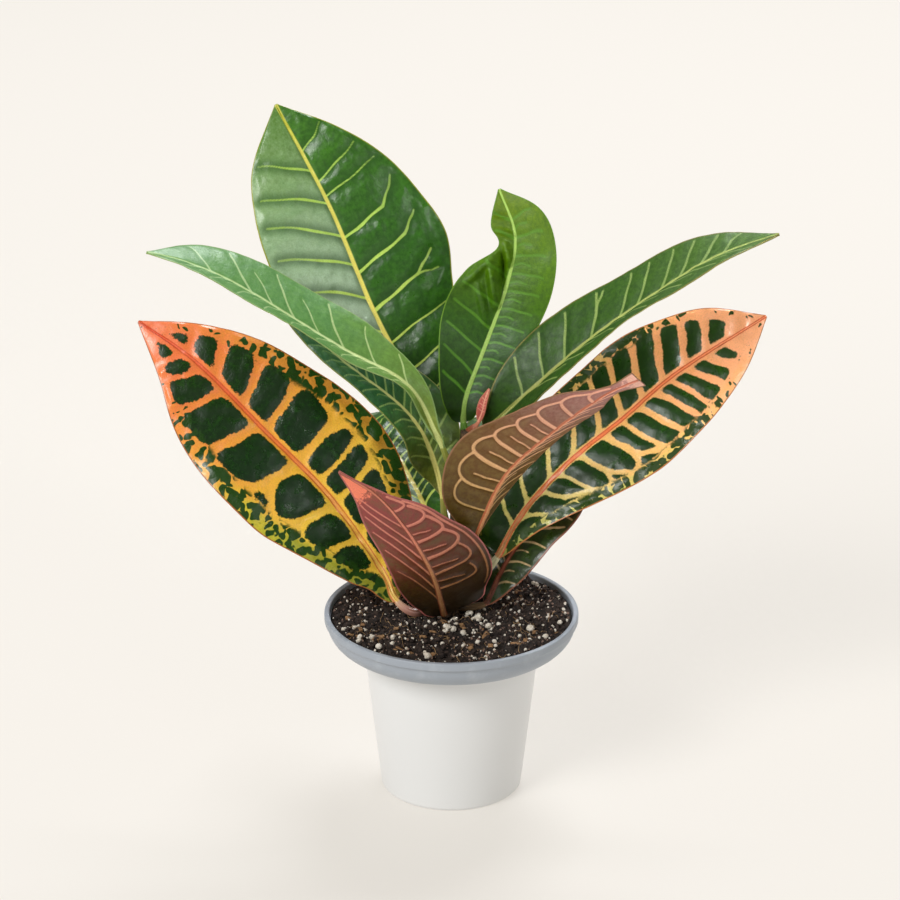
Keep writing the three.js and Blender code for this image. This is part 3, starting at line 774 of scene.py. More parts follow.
@dataclass(frozen=True)
class LeafFace:
    """One face of a croton leaf: pigmented flesh under a waxy cuticle, which gives a broad soft gloss.

    Every run of colours goes from the blade's base at 0 to its tip at 1, and widths are in mm.
    """

    name: str
    flesh: Stops
    flesh_deep: Stops
    veins: Stops
    rib: Stops
    stalk: Stops
    margin: str
    margin_width: float = 0.7
    spread: float = 0.0  # how far the vein's colour reaches past the vein
    ragged: float = 0.12  # how unevenly it ends
    soft: float = 0.35
    rib_halo: float = 0.1
    rib_lines: str = ""  # a deeper line along both sides of the rib
    deep: float = 0.5  # how much of the deep flesh shows
    rim: Stops = ()  # what the web turns to near the left margin
    rim_right: Stops = ()
    rim_zone: float = 0.0
    spots: str = ""  # islands of flesh left in the rim
    spot_size: float = 5.0
    spot_share: float = 0.4  # how far each reaches, as a share of their size
    spot_lean: float = 0.0  # how much farther on the right half
    tip: str = ""
    tip_from: float = 1.1
    pale_left_and_sheen: Stops = ()  # a paler left half: partly the leaf's own pale sector, partly a painted sheen
    pale_left_and_sheen_share: float = 0.0
    fade: float = 0.0  # how much of the veins' colour is lost towards the margin
    swell: float = 0.15  # how far the cuticle swells between its smallest veins, in mm
    gloss: float = 0.34
    coat: float = 0.2
    between: float = 0.0  # how strong the painted shade in the grooves beside its veins is, where the quilted panels dip
    shade_beside_veins_width: float = 2.0

    def build(self) -> Material:
        """Make the material. Its patterns are in mm on the flattened leaf."""
        f = Cuticle(self.name, self.gloss, self.coat)
        colour = self.over_flesh(f)
        colour = self.over_web(f, colour)
        if self.spots:
            colour = self.over_rim(f, colour)
        colour = self.over_ends(f, colour)
        tone = f.add(Node.SPAN, f.speck, 0.2, 0.8, 0.88, 1.12)
        # Veinlets about 1.8 mm apart and cuticle cells of about 0.5 mm stand a few hundredths out
        warp = f.add(Node.NOISE, f.flat, 0.45, out="Color")
        warped = f.add(Node.SHIFT, warp, (1, 1, 1), f.flat)
        veinlets = f.add(Node.CELLS, warped, 1 / 1.8, feature="DISTANCE_TO_EDGE")
        pores = f.add(Node.NOISE, f.flat, 1 / 0.5, 1.0)
        swelling = f.add(Node.NOISE, f.flat, 1 / 6, 1.0, 0.4)
        fine = f.add(Node.SUM, pores, 0.012, f.add(Node.SPAN, veinlets, 0.0, 0.25, 0, 0.03))
        return f.dress(f.add(Node.SUM, swelling, 3 * self.swell, fine), 1.0, {
            "Base Color": f.add(Node.TONE, colour, tone),
            "Roughness": f.add(Node.SPAN, f.cloud, 0.25, 0.75, self.gloss - 0.06, self.gloss + 0.1),
        })

    def over_flesh(self, f: Cuticle) -> Socket:
        """Colour the flesh, with its deep mottling, its paler left half that is partly a painted sheen, and
        painted shade beside its veins.
        """
        deep = f.add(Node.RAMP, f.drift, stops=self.flesh_deep)
        mottle = f.add(Node.SUM, f.cloud, 0.5, f.add(Node.SUM, f.wander, 0.6, self.deep - 0.875))
        mottle = f.add(Node.SPAN, f.add(Node.SUM, f.speck, 0.25, mottle), 0.1, 0.5)
        colour = f.add(Node.LAYER, mottle, f.add(Node.RAMP, f.drift, stops=self.flesh), deep)
        # The paler left half is partly the leaf's own pale sector and partly a painted sheen
        if self.pale_left_and_sheen_share:
            left = f.add(Node.SPAN, f.across, 0.05, -0.1, 0, self.pale_left_and_sheen_share)
            uneven = f.add(Node.SPAN, f.cloud, 0.3, 0.6, 0.75, 1)
            place = f.shifted(f.drift, f.wander, 0.3)
            pale_and_sheen = f.add(Node.RAMP, place, stops=self.pale_left_and_sheen)
            colour = f.add(Node.LAYER, f.add(Node.PRODUCT, left, uneven), colour, pale_and_sheen)
        # Painted shade: the deep flesh colour laid in the grooves beside the veins, where the quilted panels
        # dip
        if self.between:
            beside = f.shifted(f.web, f.wander, 1.2)
            beside = f.add(Node.SPAN, beside, self.shade_beside_veins_width, 0.1, 0, self.between)
            colour = f.add(Node.LAYER, beside, colour, deep)
        return colour

    def over_web(self, f: Cuticle, colour: Socket) -> Socket:
        """Lay the veins' colour over the flesh, ragged at its sides and paler in the rim."""
        place = f.shifted(f.drift, f.wander, 0.16)
        web = f.add(Node.RAMP, place, stops=self.veins)
        if self.rim:
            late = f.shifted(f.drift, f.wander, 0.2)
            sides = (f.add(Node.RAMP, late, stops=stops) for stops in (self.rim, self.rim_right))
            rim = f.add(Node.LAYER, f.add(Node.SPAN, f.across, -0.1, 0.1), *sides)
            zone = f.add(Node.SPAN, f.near_edge, self.rim_zone, 0.4 * self.rim_zone)
            web = f.add(Node.LAYER, zone, web, rim)
        uneven = f.add(Node.SUM, f.web, 1.0, self.ragged - self.spread)
        uneven = f.add(Node.SUM, f.wander, -2 * self.ragged, uneven)
        uneven = f.add(Node.SUM, f.speck, -0.6 * self.ragged, uneven)
        fading = f.add(Node.SPAN, f.add(Node.SIZE, f.across), 0.35, 0.85, 1, 1 - self.fade)
        kept = f.add(Node.PRODUCT, f.add(Node.SPAN, uneven, self.soft, -0.15), fading)
        return f.add(Node.LAYER, kept, colour, web)

    def over_rim(self, f: Cuticle, colour: Socket) -> Socket:
        """Leave bent islands of flesh in the rim, fewer towards the tip."""
        bend = f.add(Node.NOISE, f.flat, 1 / 7, 1.0, out="Color")
        bent = f.add(Node.SHIFT, bend, (9, 9, 9), f.flat)
        cells = f.add(Node.CELLS, bent, 1 / self.spot_size, 0.25, feature="SMOOTH_F1")
        blots = f.add(Node.NOISE, f.flat, 0.6 / self.spot_size, 1.0)
        reach = f.add(Node.SUM, blots, 0.7, self.spot_share - 0.35)
        reach = f.add(Node.SUM, f.across, self.spot_lean, reach)
        reach = f.add(Node.SUM, f.add(Node.SPAN, f.run, 0.62, 0.9, 0, 0.45), -1.0, reach)
        islands = f.add(Node.SPAN, f.add(Node.SUM, cells, -1.0, reach), 0.0, 0.09)
        zone = f.add(Node.SPAN, f.near_edge, self.rim_zone + 1.0, self.rim_zone - 2.0)
        return f.add(Node.LAYER, f.add(Node.PRODUCT, islands, zone), colour, self.spots)

    def over_ends(self, f: Cuticle, colour: Socket) -> Socket:
        """Colour the tip, the rib with its lines, the margin and the stalk."""
        if self.tip:
            tip = f.shifted(f.run, f.wander, 0.2)
            tip = f.add(Node.SPAN, tip, self.tip_from, self.tip_from + 0.04)
            colour = f.add(Node.LAYER, tip, colour, self.tip)
        rib = f.add(Node.RAMP, f.add(Node.SUM, f.speck, 0.1, f.drift), stops=self.rib)
        past_rib = f.add(Node.LESS, f.add(Node.SIZE, f.rib), f.thick)
        colour = f.add(Node.LAYER, f.add(Node.SPAN, past_rib, 0.4 + self.rib_halo, -0.1), colour, rib)
        if self.rib_lines:
            line = f.shifted(past_rib, f.wander, 0.5)
            line = f.add(Node.SPAN, f.add(Node.SIZE, line), 0.5, 0.1, 0, 0.8)
            colour = f.add(Node.LAYER, line, colour, self.rib_lines)
        colour = f.add(Node.LAYER, f.add(Node.SPAN, f.edge, self.margin_width, 0.15), colour, self.margin)
        stalk = f.add(Node.RAMP, f.add(Node.SUM, f.run, 1.0, 1.0), stops=self.stalk)
        return f.add(Node.LAYER, f.add(Node.SPAN, f.run, -0.005, -0.05), colour, stalk)


class LeafFaces(Enum):
    """The faces of this plant's leaves, which turn from green to orange and rose with age and light."""

    GREEN = LeafFace(
        "croton_leaf_green_cuticle", flesh=("#345e10", "#38701c", "#4c8426"),
        flesh_deep=("#1a4008", "#1f4c0c", "#2e5f14"),
        veins=((0, "#c8d860"), (0.6, "#b4d860"), (1, "#98c04c")), rib=("#f0e070", "#ecdf68", "#d0cf54"),
        stalk=("#4a4a20", "#8e9a40"), margin="#93982e", rib_halo=0.25,
        # Its paler left half is partly a painted sheen, and the deep flesh beside its veins is painted shade
        pale_left_and_sheen=((0, "#bcd8b8"), (0.35, "#c4dcc0"), (0.55, "#accaa2"), (0.8, "#8cae74"), (1, "#5c8434")),
        pale_left_and_sheen_share=0.85, between=0.62, shade_beside_veins_width=5.5, fade=0.5, swell=0.3, gloss=0.32, coat=0.2,
    )
    SATIN = LeafFace(
        "croton_leaf_satin_green_cuticle",
        flesh=((0, "#878a2c"), (0.16, "#6f963c"), (0.5, "#67994e"), (1, "#6c9c58")),
        flesh_deep=("#68741e", "#50843e", "#558a48"), veins=("#b4c87c", "#a4c48c"),
        rib=("#cbd07c", "#c8dc98", "#a9c884"), stalk=("#5a5a24", "#9aa044"), margin="#83a05c", soft=0.4,
        rib_halo=0.4, gloss=0.4, coat=0.12,
    )
    SHADED = LeafFace(
        "croton_leaf_shaded_green_cuticle",
        flesh=((0, "#7c7c2a"), (0.3, "#3c6628"), (0.5, "#2b6230"), (1, "#447648")),
        flesh_deep=("#565c18", "#17461c", "#2a5c30"), veins=("#8fa04c", "#5f8c52"),
        rib=("#d8cc70", "#c0c070", "#8aa468"), stalk=("#5a5a24", "#9a9844"), margin="#7c8440", soft=0.45,
        rib_halo=0.3, gloss=0.33, coat=0.2,
    )
    ARCHING = LeafFace(
        "croton_leaf_ribbed_green_cuticle", flesh=("#2c5008", "#3c6218", "#5a7a38"),
        flesh_deep=("#1c3804", "#24460c", "#3c5c20"), veins=("#7c9048", "#88a054", "#7c9458"),
        rib=("#94964c", "#a8b060", "#98aa5c"), stalk=("#4c4c20", "#8a9440"), margin="#746f34",
        margin_width=0.9, soft=0.7, rib_halo=0.3, swell=0.08, gloss=0.46, coat=0.0,
    )
    BRIGHT = LeafFace(
        "croton_leaf_fresh_green_cuticle",
        flesh=((0, "#1c4000"), (0.4, "#346400"), (0.7, "#5c8600"), (1, "#748e00")),
        flesh_deep=((0, "#102c00"), (0.4, "#1e4400"), (0.7, "#3e6400"), (1, "#547400")),
        veins=("#447c14", "#5c8c1c"), rib=((0, "#7ea044"), (0.3, "#9cbc5c"), (1, "#a8cc60")),
        stalk=("#3c5a18", "#5f8c24"), margin="#5c8418", margin_width=0.5, soft=0.8, rib_halo=0.1,
        # The deep flesh beside its veins is painted shade
        between=0.3, swell=0.04, gloss=0.45, coat=0.0,
    )
    MOTTLED_LEFT = LeafFace(
        "croton_leaf_amber_veined_cuticle", flesh=("#2c5c1c", "#245018", "#2c5a12"),
        flesh_deep=("#0f2a08", "#0c2a0a", "#143006"),
        veins=((0, "#e8b83c"), (0.3, "#efc240"), (0.5, "#ecaa3a"), (0.68, "#ea8c3c"), (0.85, "#ee7a42"),
               (1, "#f07a50")),
        rib=("#ecc468", "#f0b44c", "#ec843a", "#e8683a", "#ee6c4c"),
        # Its stalk turns near black towards the stem: painted shade where it runs in under the foliage
        stalk=((0, "#1c120c"), (0.45, "#3c2218"), (0.75, "#a87868"), (1, "#d8ae8c")), margin="#a8622c",
        margin_width=0.6, spread=0.1, ragged=1.5, soft=0.5, rib_halo=0.7, rib_lines="#c2521f", deep=0.65,
        rim=((0, "#8a8a2a"), (0.3, "#a8a82c"), (0.46, "#d0be34"), (0.6, "#e8a438"), (0.8, "#ee8240"),
             (1, "#f07a50")),
        rim_right=((0, "#7c6c24"), (0.3, "#a47c26"), (0.5, "#cc8a2e"), (0.7, "#e09238"),
                   (0.85, "#ea8240"), (1, "#f07a50")),
        rim_zone=12.0, spots="#20420c", spot_size=4.4, spot_share=0.61, spot_lean=0.03, gloss=0.28,
        coat=0.2,
    )
    MOTTLED_RIGHT = LeafFace(
        "croton_leaf_orange_veined_cuticle", flesh=("#285010", "#2c5812", "#34620e"),
        flesh_deep=("#122c06", "#143408", "#1e3c06"),
        veins=((0, "#b4b45c"), (0.3, "#dcc274"), (0.5, "#f2ba6c"), (0.7, "#faac70"), (1, "#ffb080")),
        rib=("#b48c58", "#cc7c44", "#f27e48", "#fc905c", "#ffa674"), stalk=("#4c4428", "#a09a6c", "#cfc8a0"),
        margin="#b06c34", margin_width=0.6, spread=0.1, ragged=0.9, soft=0.55, rib_halo=0.4,
        rib_lines="#cc4c22", deep=0.65,
        rim=((0, "#7c7830"), (0.35, "#b8a04c"), (0.6, "#e0b460"), (0.8, "#f8a86c"), (1, "#ffb080")),
        rim_right=((0, "#8c9048"), (0.35, "#c4bc60"), (0.6, "#e4c064"), (0.8, "#faac6c"), (1, "#ffb080")),
        rim_zone=7.0, spots="#263e0a", spot_size=3.8, spot_share=0.68, spot_lean=0.0, gloss=0.3, coat=0.15,
    )
    DUSKY_UNDER = LeafFace(
        "croton_leaf_mauve_underside",
        flesh=((0, "#4a3a06"), (0.3, "#705620"), (0.5, "#86663c"), (0.75, "#a67a6c"), (1, "#cc9288")),
        flesh_deep=((0, "#342600"), (0.3, "#583808"), (0.5, "#6c4420"), (0.75, "#8a5448"), (1, "#a86c68")),
        veins=((0, "#927838"), (0.3, "#cfa26c"), (0.6, "#e2a684"), (1, "#e09c88")),
        rib=((0, "#a8744a"), (0.3, "#c88858"), (0.7, "#dc9672"), (1, "#dc9a84")),
        stalk=("#4c3418", "#b08c5a"), margin="#8c6444", margin_width=0.9, soft=0.5, spread=0.05,
        # The deep flesh beside its veins is painted shade
        rib_halo=0.25, rib_lines="#a04c2c", tip="#ecb6a2", tip_from=0.93, between=0.7, shade_beside_veins_width=2.6,
        gloss=0.44, coat=0.03,
    )
    MAROON_UNDER = LeafFace(
        "croton_leaf_maroon_underside",
        flesh=((0, "#1c1404"), (0.2, "#44300a"), (0.45, "#664a24"), (0.7, "#745034"), (1, "#a84c40")),
        flesh_deep=((0, "#140c02"), (0.2, "#3a2006"), (0.45, "#703020"), (0.7, "#8a3a38"), (1, "#a04640")),
        veins=((0, "#54381c"), (0.2, "#9c6a40"), (0.45, "#c87a64"), (1, "#dc8674")),
        rib=((0, "#7c5430"), (0.35, "#b88054"), (0.6, "#d27c64"), (1, "#dc8a6c")),
        stalk=("#1c1208", "#4c301a"), margin="#ac605a", margin_width=0.9, soft=0.35, rib_halo=0.15,
        # The deep flesh beside its veins is painted shade
        rib_lines="#6c2c18", tip="#f08262", tip_from=0.81, between=0.8, shade_beside_veins_width=3.0, gloss=0.42,
        coat=0.04,
    )
    LOW = LeafFace(
        "croton_leaf_old_green_cuticle", flesh=("#283614", "#2c4214", "#403418"),
        flesh_deep=("#141c08", "#142408", "#241608"), veins=("#6c5c38", "#b89c70", "#8c7048"),
        rib=((0, "#5a3826"), (0.4, "#9a5640"), (0.7, "#a86c4c"), (1, "#9c6a48")),
        stalk=("#2c2012", "#6c5438"), margin="#7c4a34", margin_width=0.9, soft=0.45, rib_halo=0.2,
        rib_lines="#5c2418", gloss=0.3, coat=0.2,
    )
    PALE_UNDER = LeafFace(
        "croton_leaf_pale_underside", flesh=("#647a44", "#66824c", "#728c58"),
        flesh_deep=("#526a36", "#54723e", "#5f784a"), veins=("#9cac70", "#98ac78"),
        rib=("#b8bc80", "#a8b87c"), stalk=("#4c4c24", "#9aa058"), margin="#8c9a54", soft=0.5, rib_halo=0.3,
        gloss=0.45, coat=0.05,
    )
    RED_UNDER = LeafFace(
        "croton_leaf_red_underside", flesh=("#5e3018", "#844028", "#b45c40"),
        flesh_deep=("#44220e", "#662e1c", "#984a32"), veins=("#bc8250", "#de8a64"),
        rib=("#c89468", "#e08660"),
        stalk=((0, "#3c2418"), (0.45, "#6a4030"), (0.7, "#d8a898"), (1, "#cba488")), margin="#b46434",
        ragged=0.3, soft=0.5, rib_halo=0.3, gloss=0.42, coat=0.05,
    )
    YOUNG = LeafFace(
        "croton_young_shoot_cuticle", flesh=("#b05a48", "#d06c62", "#cc8068"),
        flesh_deep=("#9c483c", "#c05450", "#b06850"), veins=("#e09a84", "#e4a88c"),
        rib=("#e0927a", "#e8ac90"), stalk=("#8c4c34", "#c88062"), margin="#c4705c", soft=0.3, gloss=0.35,
        coat=0.2,
    )


def even_veins(
    first: float, last: float, count: int, lean: float, thick: tuple[float, float], bow: float = 0.01,
    reach: float = 0.9,
) -> tuple[Vein, ...]:
    """Space side veins evenly along a half, each leaning to the tip, with a thin one between each two.

    Args:
        first: The first vein's start, as a share of the blade.
        last: The last vein's start.
        count: How many veins.
        lean: How much nearer to the tip each one ends.
        thick: The half-widths at both ends, in mm.
        bow: How far the middle of each bends towards the tip.
        reach: How far across the half they run.

    Returns:
        The veins.
    """
    starts = np.linspace(first, last, count)
    step = (last - first) / max(count - 1, 1)
    main = [Vein(s, s + lean, *thick, bow, 0, reach) for s in starts]
    thin = (0.6 * thick[0], 0.6 * thick[1])
    halfway = starts[:-1] + step / 2
    between = [Vein(s, s + 0.8 * lean, *thin, bow, 0, 0.55 * reach) for s in halfway]
    return (*main, *between)


def leaves() -> list[tuple[Leaf, LeafFaces, LeafFaces]]:
    """List every leaf with the finishes of its upper face and its underside."""
    coarse = Grain(cell=1.15)
    tall = Leaf(
        "leaf_back_tall", "leaf_green",
        route=[(4, 6, 174), (0, 14, 180), (-9, 24, 194), (-24, 37, 215), (-40, 48, 243), (-62, 62, 294),
               (-89, 80, 342)],
        left=(2, 16, 29, 38, 42, 42, 37, 26, 0.5), right=(14, 28, 37, 45, 50, 45, 36, 21, 0.5),
        facing=[(0.1, -0.9, 0.6), (0.15, -0.95, 0.3), (0, -0.9, 0.1)],
        fold=((30, 25, 20), (15, 10, 5)), curl=((0, 10, 20), (0, 20, 25)),
        wave=Wave(1.5, 3, 0.4),
        veins_left=veins(
            (0.79, 0.87, 0.5, 0.3, 0.01), (0.69, 0.78, 0.55, 0.35, 0.01), (0.59, 0.7, 0.6, 0.4, 0.01),
            (0.505, 0.6, 0.6, 0.4, 0.01), (0.405, 0.5, 0.6, 0.4, 0.01), (0.3, 0.39, 0.5, 0.35, 0.01),
            (0.2, 0.27, 0.45, 0.3, 0.01), (0.11, 0.16, 0.4, 0.3),
        ),
        veins_right=veins(
            (0.755, 0.81, 0.35, 0.25), (0.71, 0.75, 0.3, 0.2), (0.585, 0.625, 0.6, 0.55, 0, 0, 0.55),
            (0.625, 0.69, 0.5, 0.35, 0, 0.55, 0.85), (0.48, 0.535, 0.65, 0.6, 0, 0, 0.6),
            (0.535, 0.585, 0.55, 0.35, 0, 0.6, 0.82), (0.365, 0.415, 0.75, 0.65, 0, 0, 0.6),
            (0.415, 0.47, 0.6, 0.4, 0, 0.6, 0.8), (0.415, 0.41, 0.4, 0.3, 0, 0.6, 0.85),
            (0.265, 0.3, 0.45, 0.3), (0.17, 0.2, 0.45, 0.3), (0.85, 0.9, 0.3, 0.2),
            (0.09, 0.11, 0.35, 0.25),
        ),
        grain=Grain(cell=0.76, quilt=1.1, quilt_width=4.5), rib=(1.5, 0.6),
    )
    satin = Leaf(
        "leaf_left_arching", "leaf_green",
        route=[(2, -4, 172), (-1, -7, 180), (-8, -9, 199), (-23, -10, 225), (-55, -12, 245),
               (-104, -14, 278), (-130, -16, 291), (-149, -18, 297)],
        left=(1.5, 5, 12, 19, 22, 22, 19, 12, 0.5), right=(1.5, 6, 13, 21, 24, 24, 21, 16, 0.5),
        facing=[(-0.6, -0.5, 0.5), (0.3, -0.2, 0.9), (-0.1, -0.2, 1)],
        fold=((48, 24, 22), (30, 25, 15)), curl=((0, 5, 5), (0, 10, 20)),
        wave=Wave(1.0, 2.5, 1.1), stalk=0.1,
        veins_left=even_veins(0.2, 0.85, 9, 0.06, (0.4, 0.25)),
        veins_right=veins(
            (0.4, 0.49, 0.45, 0.3, 0.01), (0.56, 0.65, 0.45, 0.3, 0.01), (0.695, 0.785, 0.45, 0.3, 0.01),
            (0.3, 0.37, 0.3, 0.2, 0.01), (0.82, 0.89, 0.35, 0.2), (0.2, 0.26, 0.3, 0.2),
            (0.48, 0.56, 0.25, 0.2, 0, 0, 0.6), (0.63, 0.71, 0.25, 0.2, 0, 0, 0.6),
        ),
        grain=Grain(cell=0.76, quilt=0.3, quilt_width=2.0, crinkle=0.08),
    )
    shaded = Leaf(
        "leaf_left_under", "leaf_green",
        route=[(-1, -2.5, 142.5), (-3.5, -1.5, 150), (-7, 1.5, 173), (-21, 4.5, 202), (-54.5, 8.5, 230),
               (-86, 13, 256)],
        left=(1.5, 9, 16, 19, 19, 17, 14, 8, 0.5), right=(1.5, 11, 21, 25, 23, 18, 14, 8, 0.5),
        facing=[(-0.7, -0.5, 0.4), (0.3, -0.25, 0.9), (0.2, -0.3, 0.95)],
        fold=((15, 15, 12), (25, 20, 15)), curl=((0, 10, 10), (0, 10, 10)),
        wave=Wave(1.0, 2, 0.2),
        veins_left=even_veins(0.15, 0.85, 9, 0.07, (0.4, 0.25)),
        veins_right=even_veins(0.12, 0.83, 9, 0.07, (0.4, 0.25)),
        grain=Grain(cell=0.84, quilt=0.3, quilt_width=1.8),
    )
    mottled_left = Leaf(
        "leaf_left_mottled", "leaf_mottled",
        route=[(-6, -3, 103), (-12, -8, 101.5), (-20, -11, 101), (-29, -7, 107), (-37, 1, 121),
               (-63, 10, 157), (-95, 20, 188), (-129, 32, 220), (-159, 44, 238)],
        left=(4, 20, 32, 40, 41, 38, 31, 17, 0.5), right=(4, 26, 38, 44, 44, 38, 30, 16, 0.5),
        facing=[(0.3, -0.8, 0.6), (0.25, -0.8, 0.55), (0.1, -0.85, 0.5)],
        fold=((12, 8, 5), (18, 14, 10)), curl=((5, 15, 20), (0, 12, 20)),
        wave=Wave(1.8, 3, 0), radius=2.1,
        veins_left=veins(
            (0.79, 0.85, 0.6, 0.7), (0.71, 0.76, 1.1, 1.4), (0.585, 0.63, 1.3, 2.4),
            (0.43, 0.46, 2.0, 2.0, 0.01, 0, 0.5), (0.46, 0.54, 1.3, 1.6, 0, 0.5, 0.9),
            (0.45, 0.38, 0.9, 0.8, 0, 0.5, 0.8), (0.285, 0.32, 1.7, 1.4, 0.01, 0, 0.6),
            (0.32, 0.41, 1.1, 0.9, 0, 0.6, 0.86), (0.32, 0.26, 0.9, 0.7, 0, 0.6, 0.88),
            (0.19, 0.22, 0.9, 0.8), (0.1, 0.12, 0.6, 0.6), (0.86, 0.89, 0.6, 0.6),
        ),
        veins_right=veins(
            (0.84, 0.88, 0.8, 0.9), (0.75, 0.81, 1.5, 2.2), (0.65, 0.7, 1.2, 1.5, 0, 0, 0.7),
            (0.7, 0.71, 1.5, 3.2, 0, 0.7, 0.88), (0.56, 0.59, 1.1, 1.3, 0, 0, 0.65),
            (0.59, 0.6, 1.4, 2.6, 0, 0.65, 0.85), (0.44, 0.44, 1.6, 1.5, 0.01, 0, 0.7),
            (0.44, 0.43, 1.5, 2.6, 0, 0.7, 0.92), (0.445, 0.53, 0.8, 0.6, 0, 0.62, 0.8),
            (0.3, 0.33, 0.8, 0.7), (0.2, 0.23, 0.7, 0.6), (0.11, 0.14, 0.5, 0.5),
            (0.37, 0.385, 0.35, 0.35, 0, 0.0, 0.85),
        ),
        grain=Grain(cell=0.7, quilt=0.9, quilt_width=4.0, web=1.7, rib_band=(2.2, 2.0),
                    rim_left=(3, 6, 8, 10, 11, 9, 5, 4, 7), rim_right=(3, 8, 12, 13, 11, 9, 7, 6, 7)),
        rib=(1.3, 0.6),
    )
    upright = Leaf(
        "leaf_centre_upright", "leaf_bright",
        route=[(7, 6.5, 191), (6, 9, 200), (8, 12, 212), (18, 22, 236), (28, 30, 263), (32, 36, 287),
               (24, 44, 309)],
        left=(5, 16, 23, 27, 27, 22, 9, 11, 0.5), right=(4, 12, 16, 20, 22, 23, 21, 15, 0.5),
        facing=[(0.1, -0.95, 0.3), (-0.1, -0.95, 0.2), (-0.1, -0.95, 0.1)],
        fold=((25, 20, 30), (20, 15, 15)), curl=((0, 0, 0), (0, 15, 20)),
        wave=Wave(1.6, 3, 0.9), stalk=0.05, radius=1.7,
        veins_left=veins(
            (0.5, 0.56, 0.45, 0.3), (0.4, 0.47, 0.4, 0.3), (0.3, 0.37, 0.35, 0.25),
            (0.2, 0.27, 0.35, 0.25), (0.12, 0.17, 0.3, 0.25), (0.78, 0.84, 0.45, 0.3),
            (0.86, 0.92, 0.4, 0.3), (0.62, 0.68, 0.35, 0.3),
        ),
        veins_right=even_veins(0.12, 0.86, 11, 0.02, (0.25, 0.15), 0.008, 0.75),
        folds=tuple(Fold(Side.LEFT, *row) for row in (
            ((0.5, 0.1), (0.66, 0.62), 2.1, 6.4), ((0.58, 0.1), (0.71, 0.5), 1.8, -5.6),
            ((0.42, 0.15), (0.56, 0.6), 1.8, 2.8), ((0.68, 0.1), (0.76, 0.6), 1.6, 3.6),
            ((0.8, 0.15), (0.84, 0.9), 1.6, 1.8), ((0.88, 0.1), (0.91, 0.9), 1.4, -1.4),
            ((0.55, 0.85), (0.72, 0.9), 2.2, 3.0),
        )),
        grain=Grain(cell=0.64, quilt=0.12, quilt_width=1.8, under_vein=0.12, crinkle=0.1),
        rib=(0.8, 0.45), rib_proud=0.5, base_round=0.015,
    )
    ribbed = Leaf(
        "leaf_right_arching", "leaf_green",
        route=[(12, 2, 186), (19, 1, 197), (36, 0, 214), (71, -4, 248), (106, -6, 275), (131, -6, 291),
               (161, -6, 302)],
        left=(4, 17, 24, 25, 25, 24, 20, 13, 0.5), right=(1.5, 10, 18, 22, 23, 21, 17, 10, 0.5),
        facing=[(0.6, -0.5, 0.5), (-0.3, -0.2, 0.9), (0.1, -0.2, 1)],
        fold=((30, 25, 15), (33, 23, 17)), curl=((0, 10, 15), (0, 5, 10)),
        wave=Wave(1.0, 2.5, 0.6), stalk=0.06,
        veins_left=veins(
            (0.3, 0.37, 0.4, 0.3, 0.005), (0.4, 0.47, 0.45, 0.3, 0.01), (0.5, 0.58, 0.3, 0.25, 0.01),
            (0.56, 0.64, 0.35, 0.3, 0.01), (0.64, 0.72, 0.35, 0.25, 0.01), (0.7, 0.78, 0.3, 0.25, 0.01),
            (0.77, 0.84, 0.4, 0.3, 0.01), (0.84, 0.9, 0.3, 0.2), (0.22, 0.28, 0.3, 0.25),
            (0.14, 0.19, 0.3, 0.25), (0.45, 0.49, 0.3, 0.25, 0, 0.5, 0.85),
        ),
        veins_right=even_veins(0.18, 0.82, 7, 0.1, (0.25, 0.15), 0.01, 0.75),
        grain=Grain(cell=0.75, quilt=0.5, quilt_width=2.6), base_round=0.012,
    )
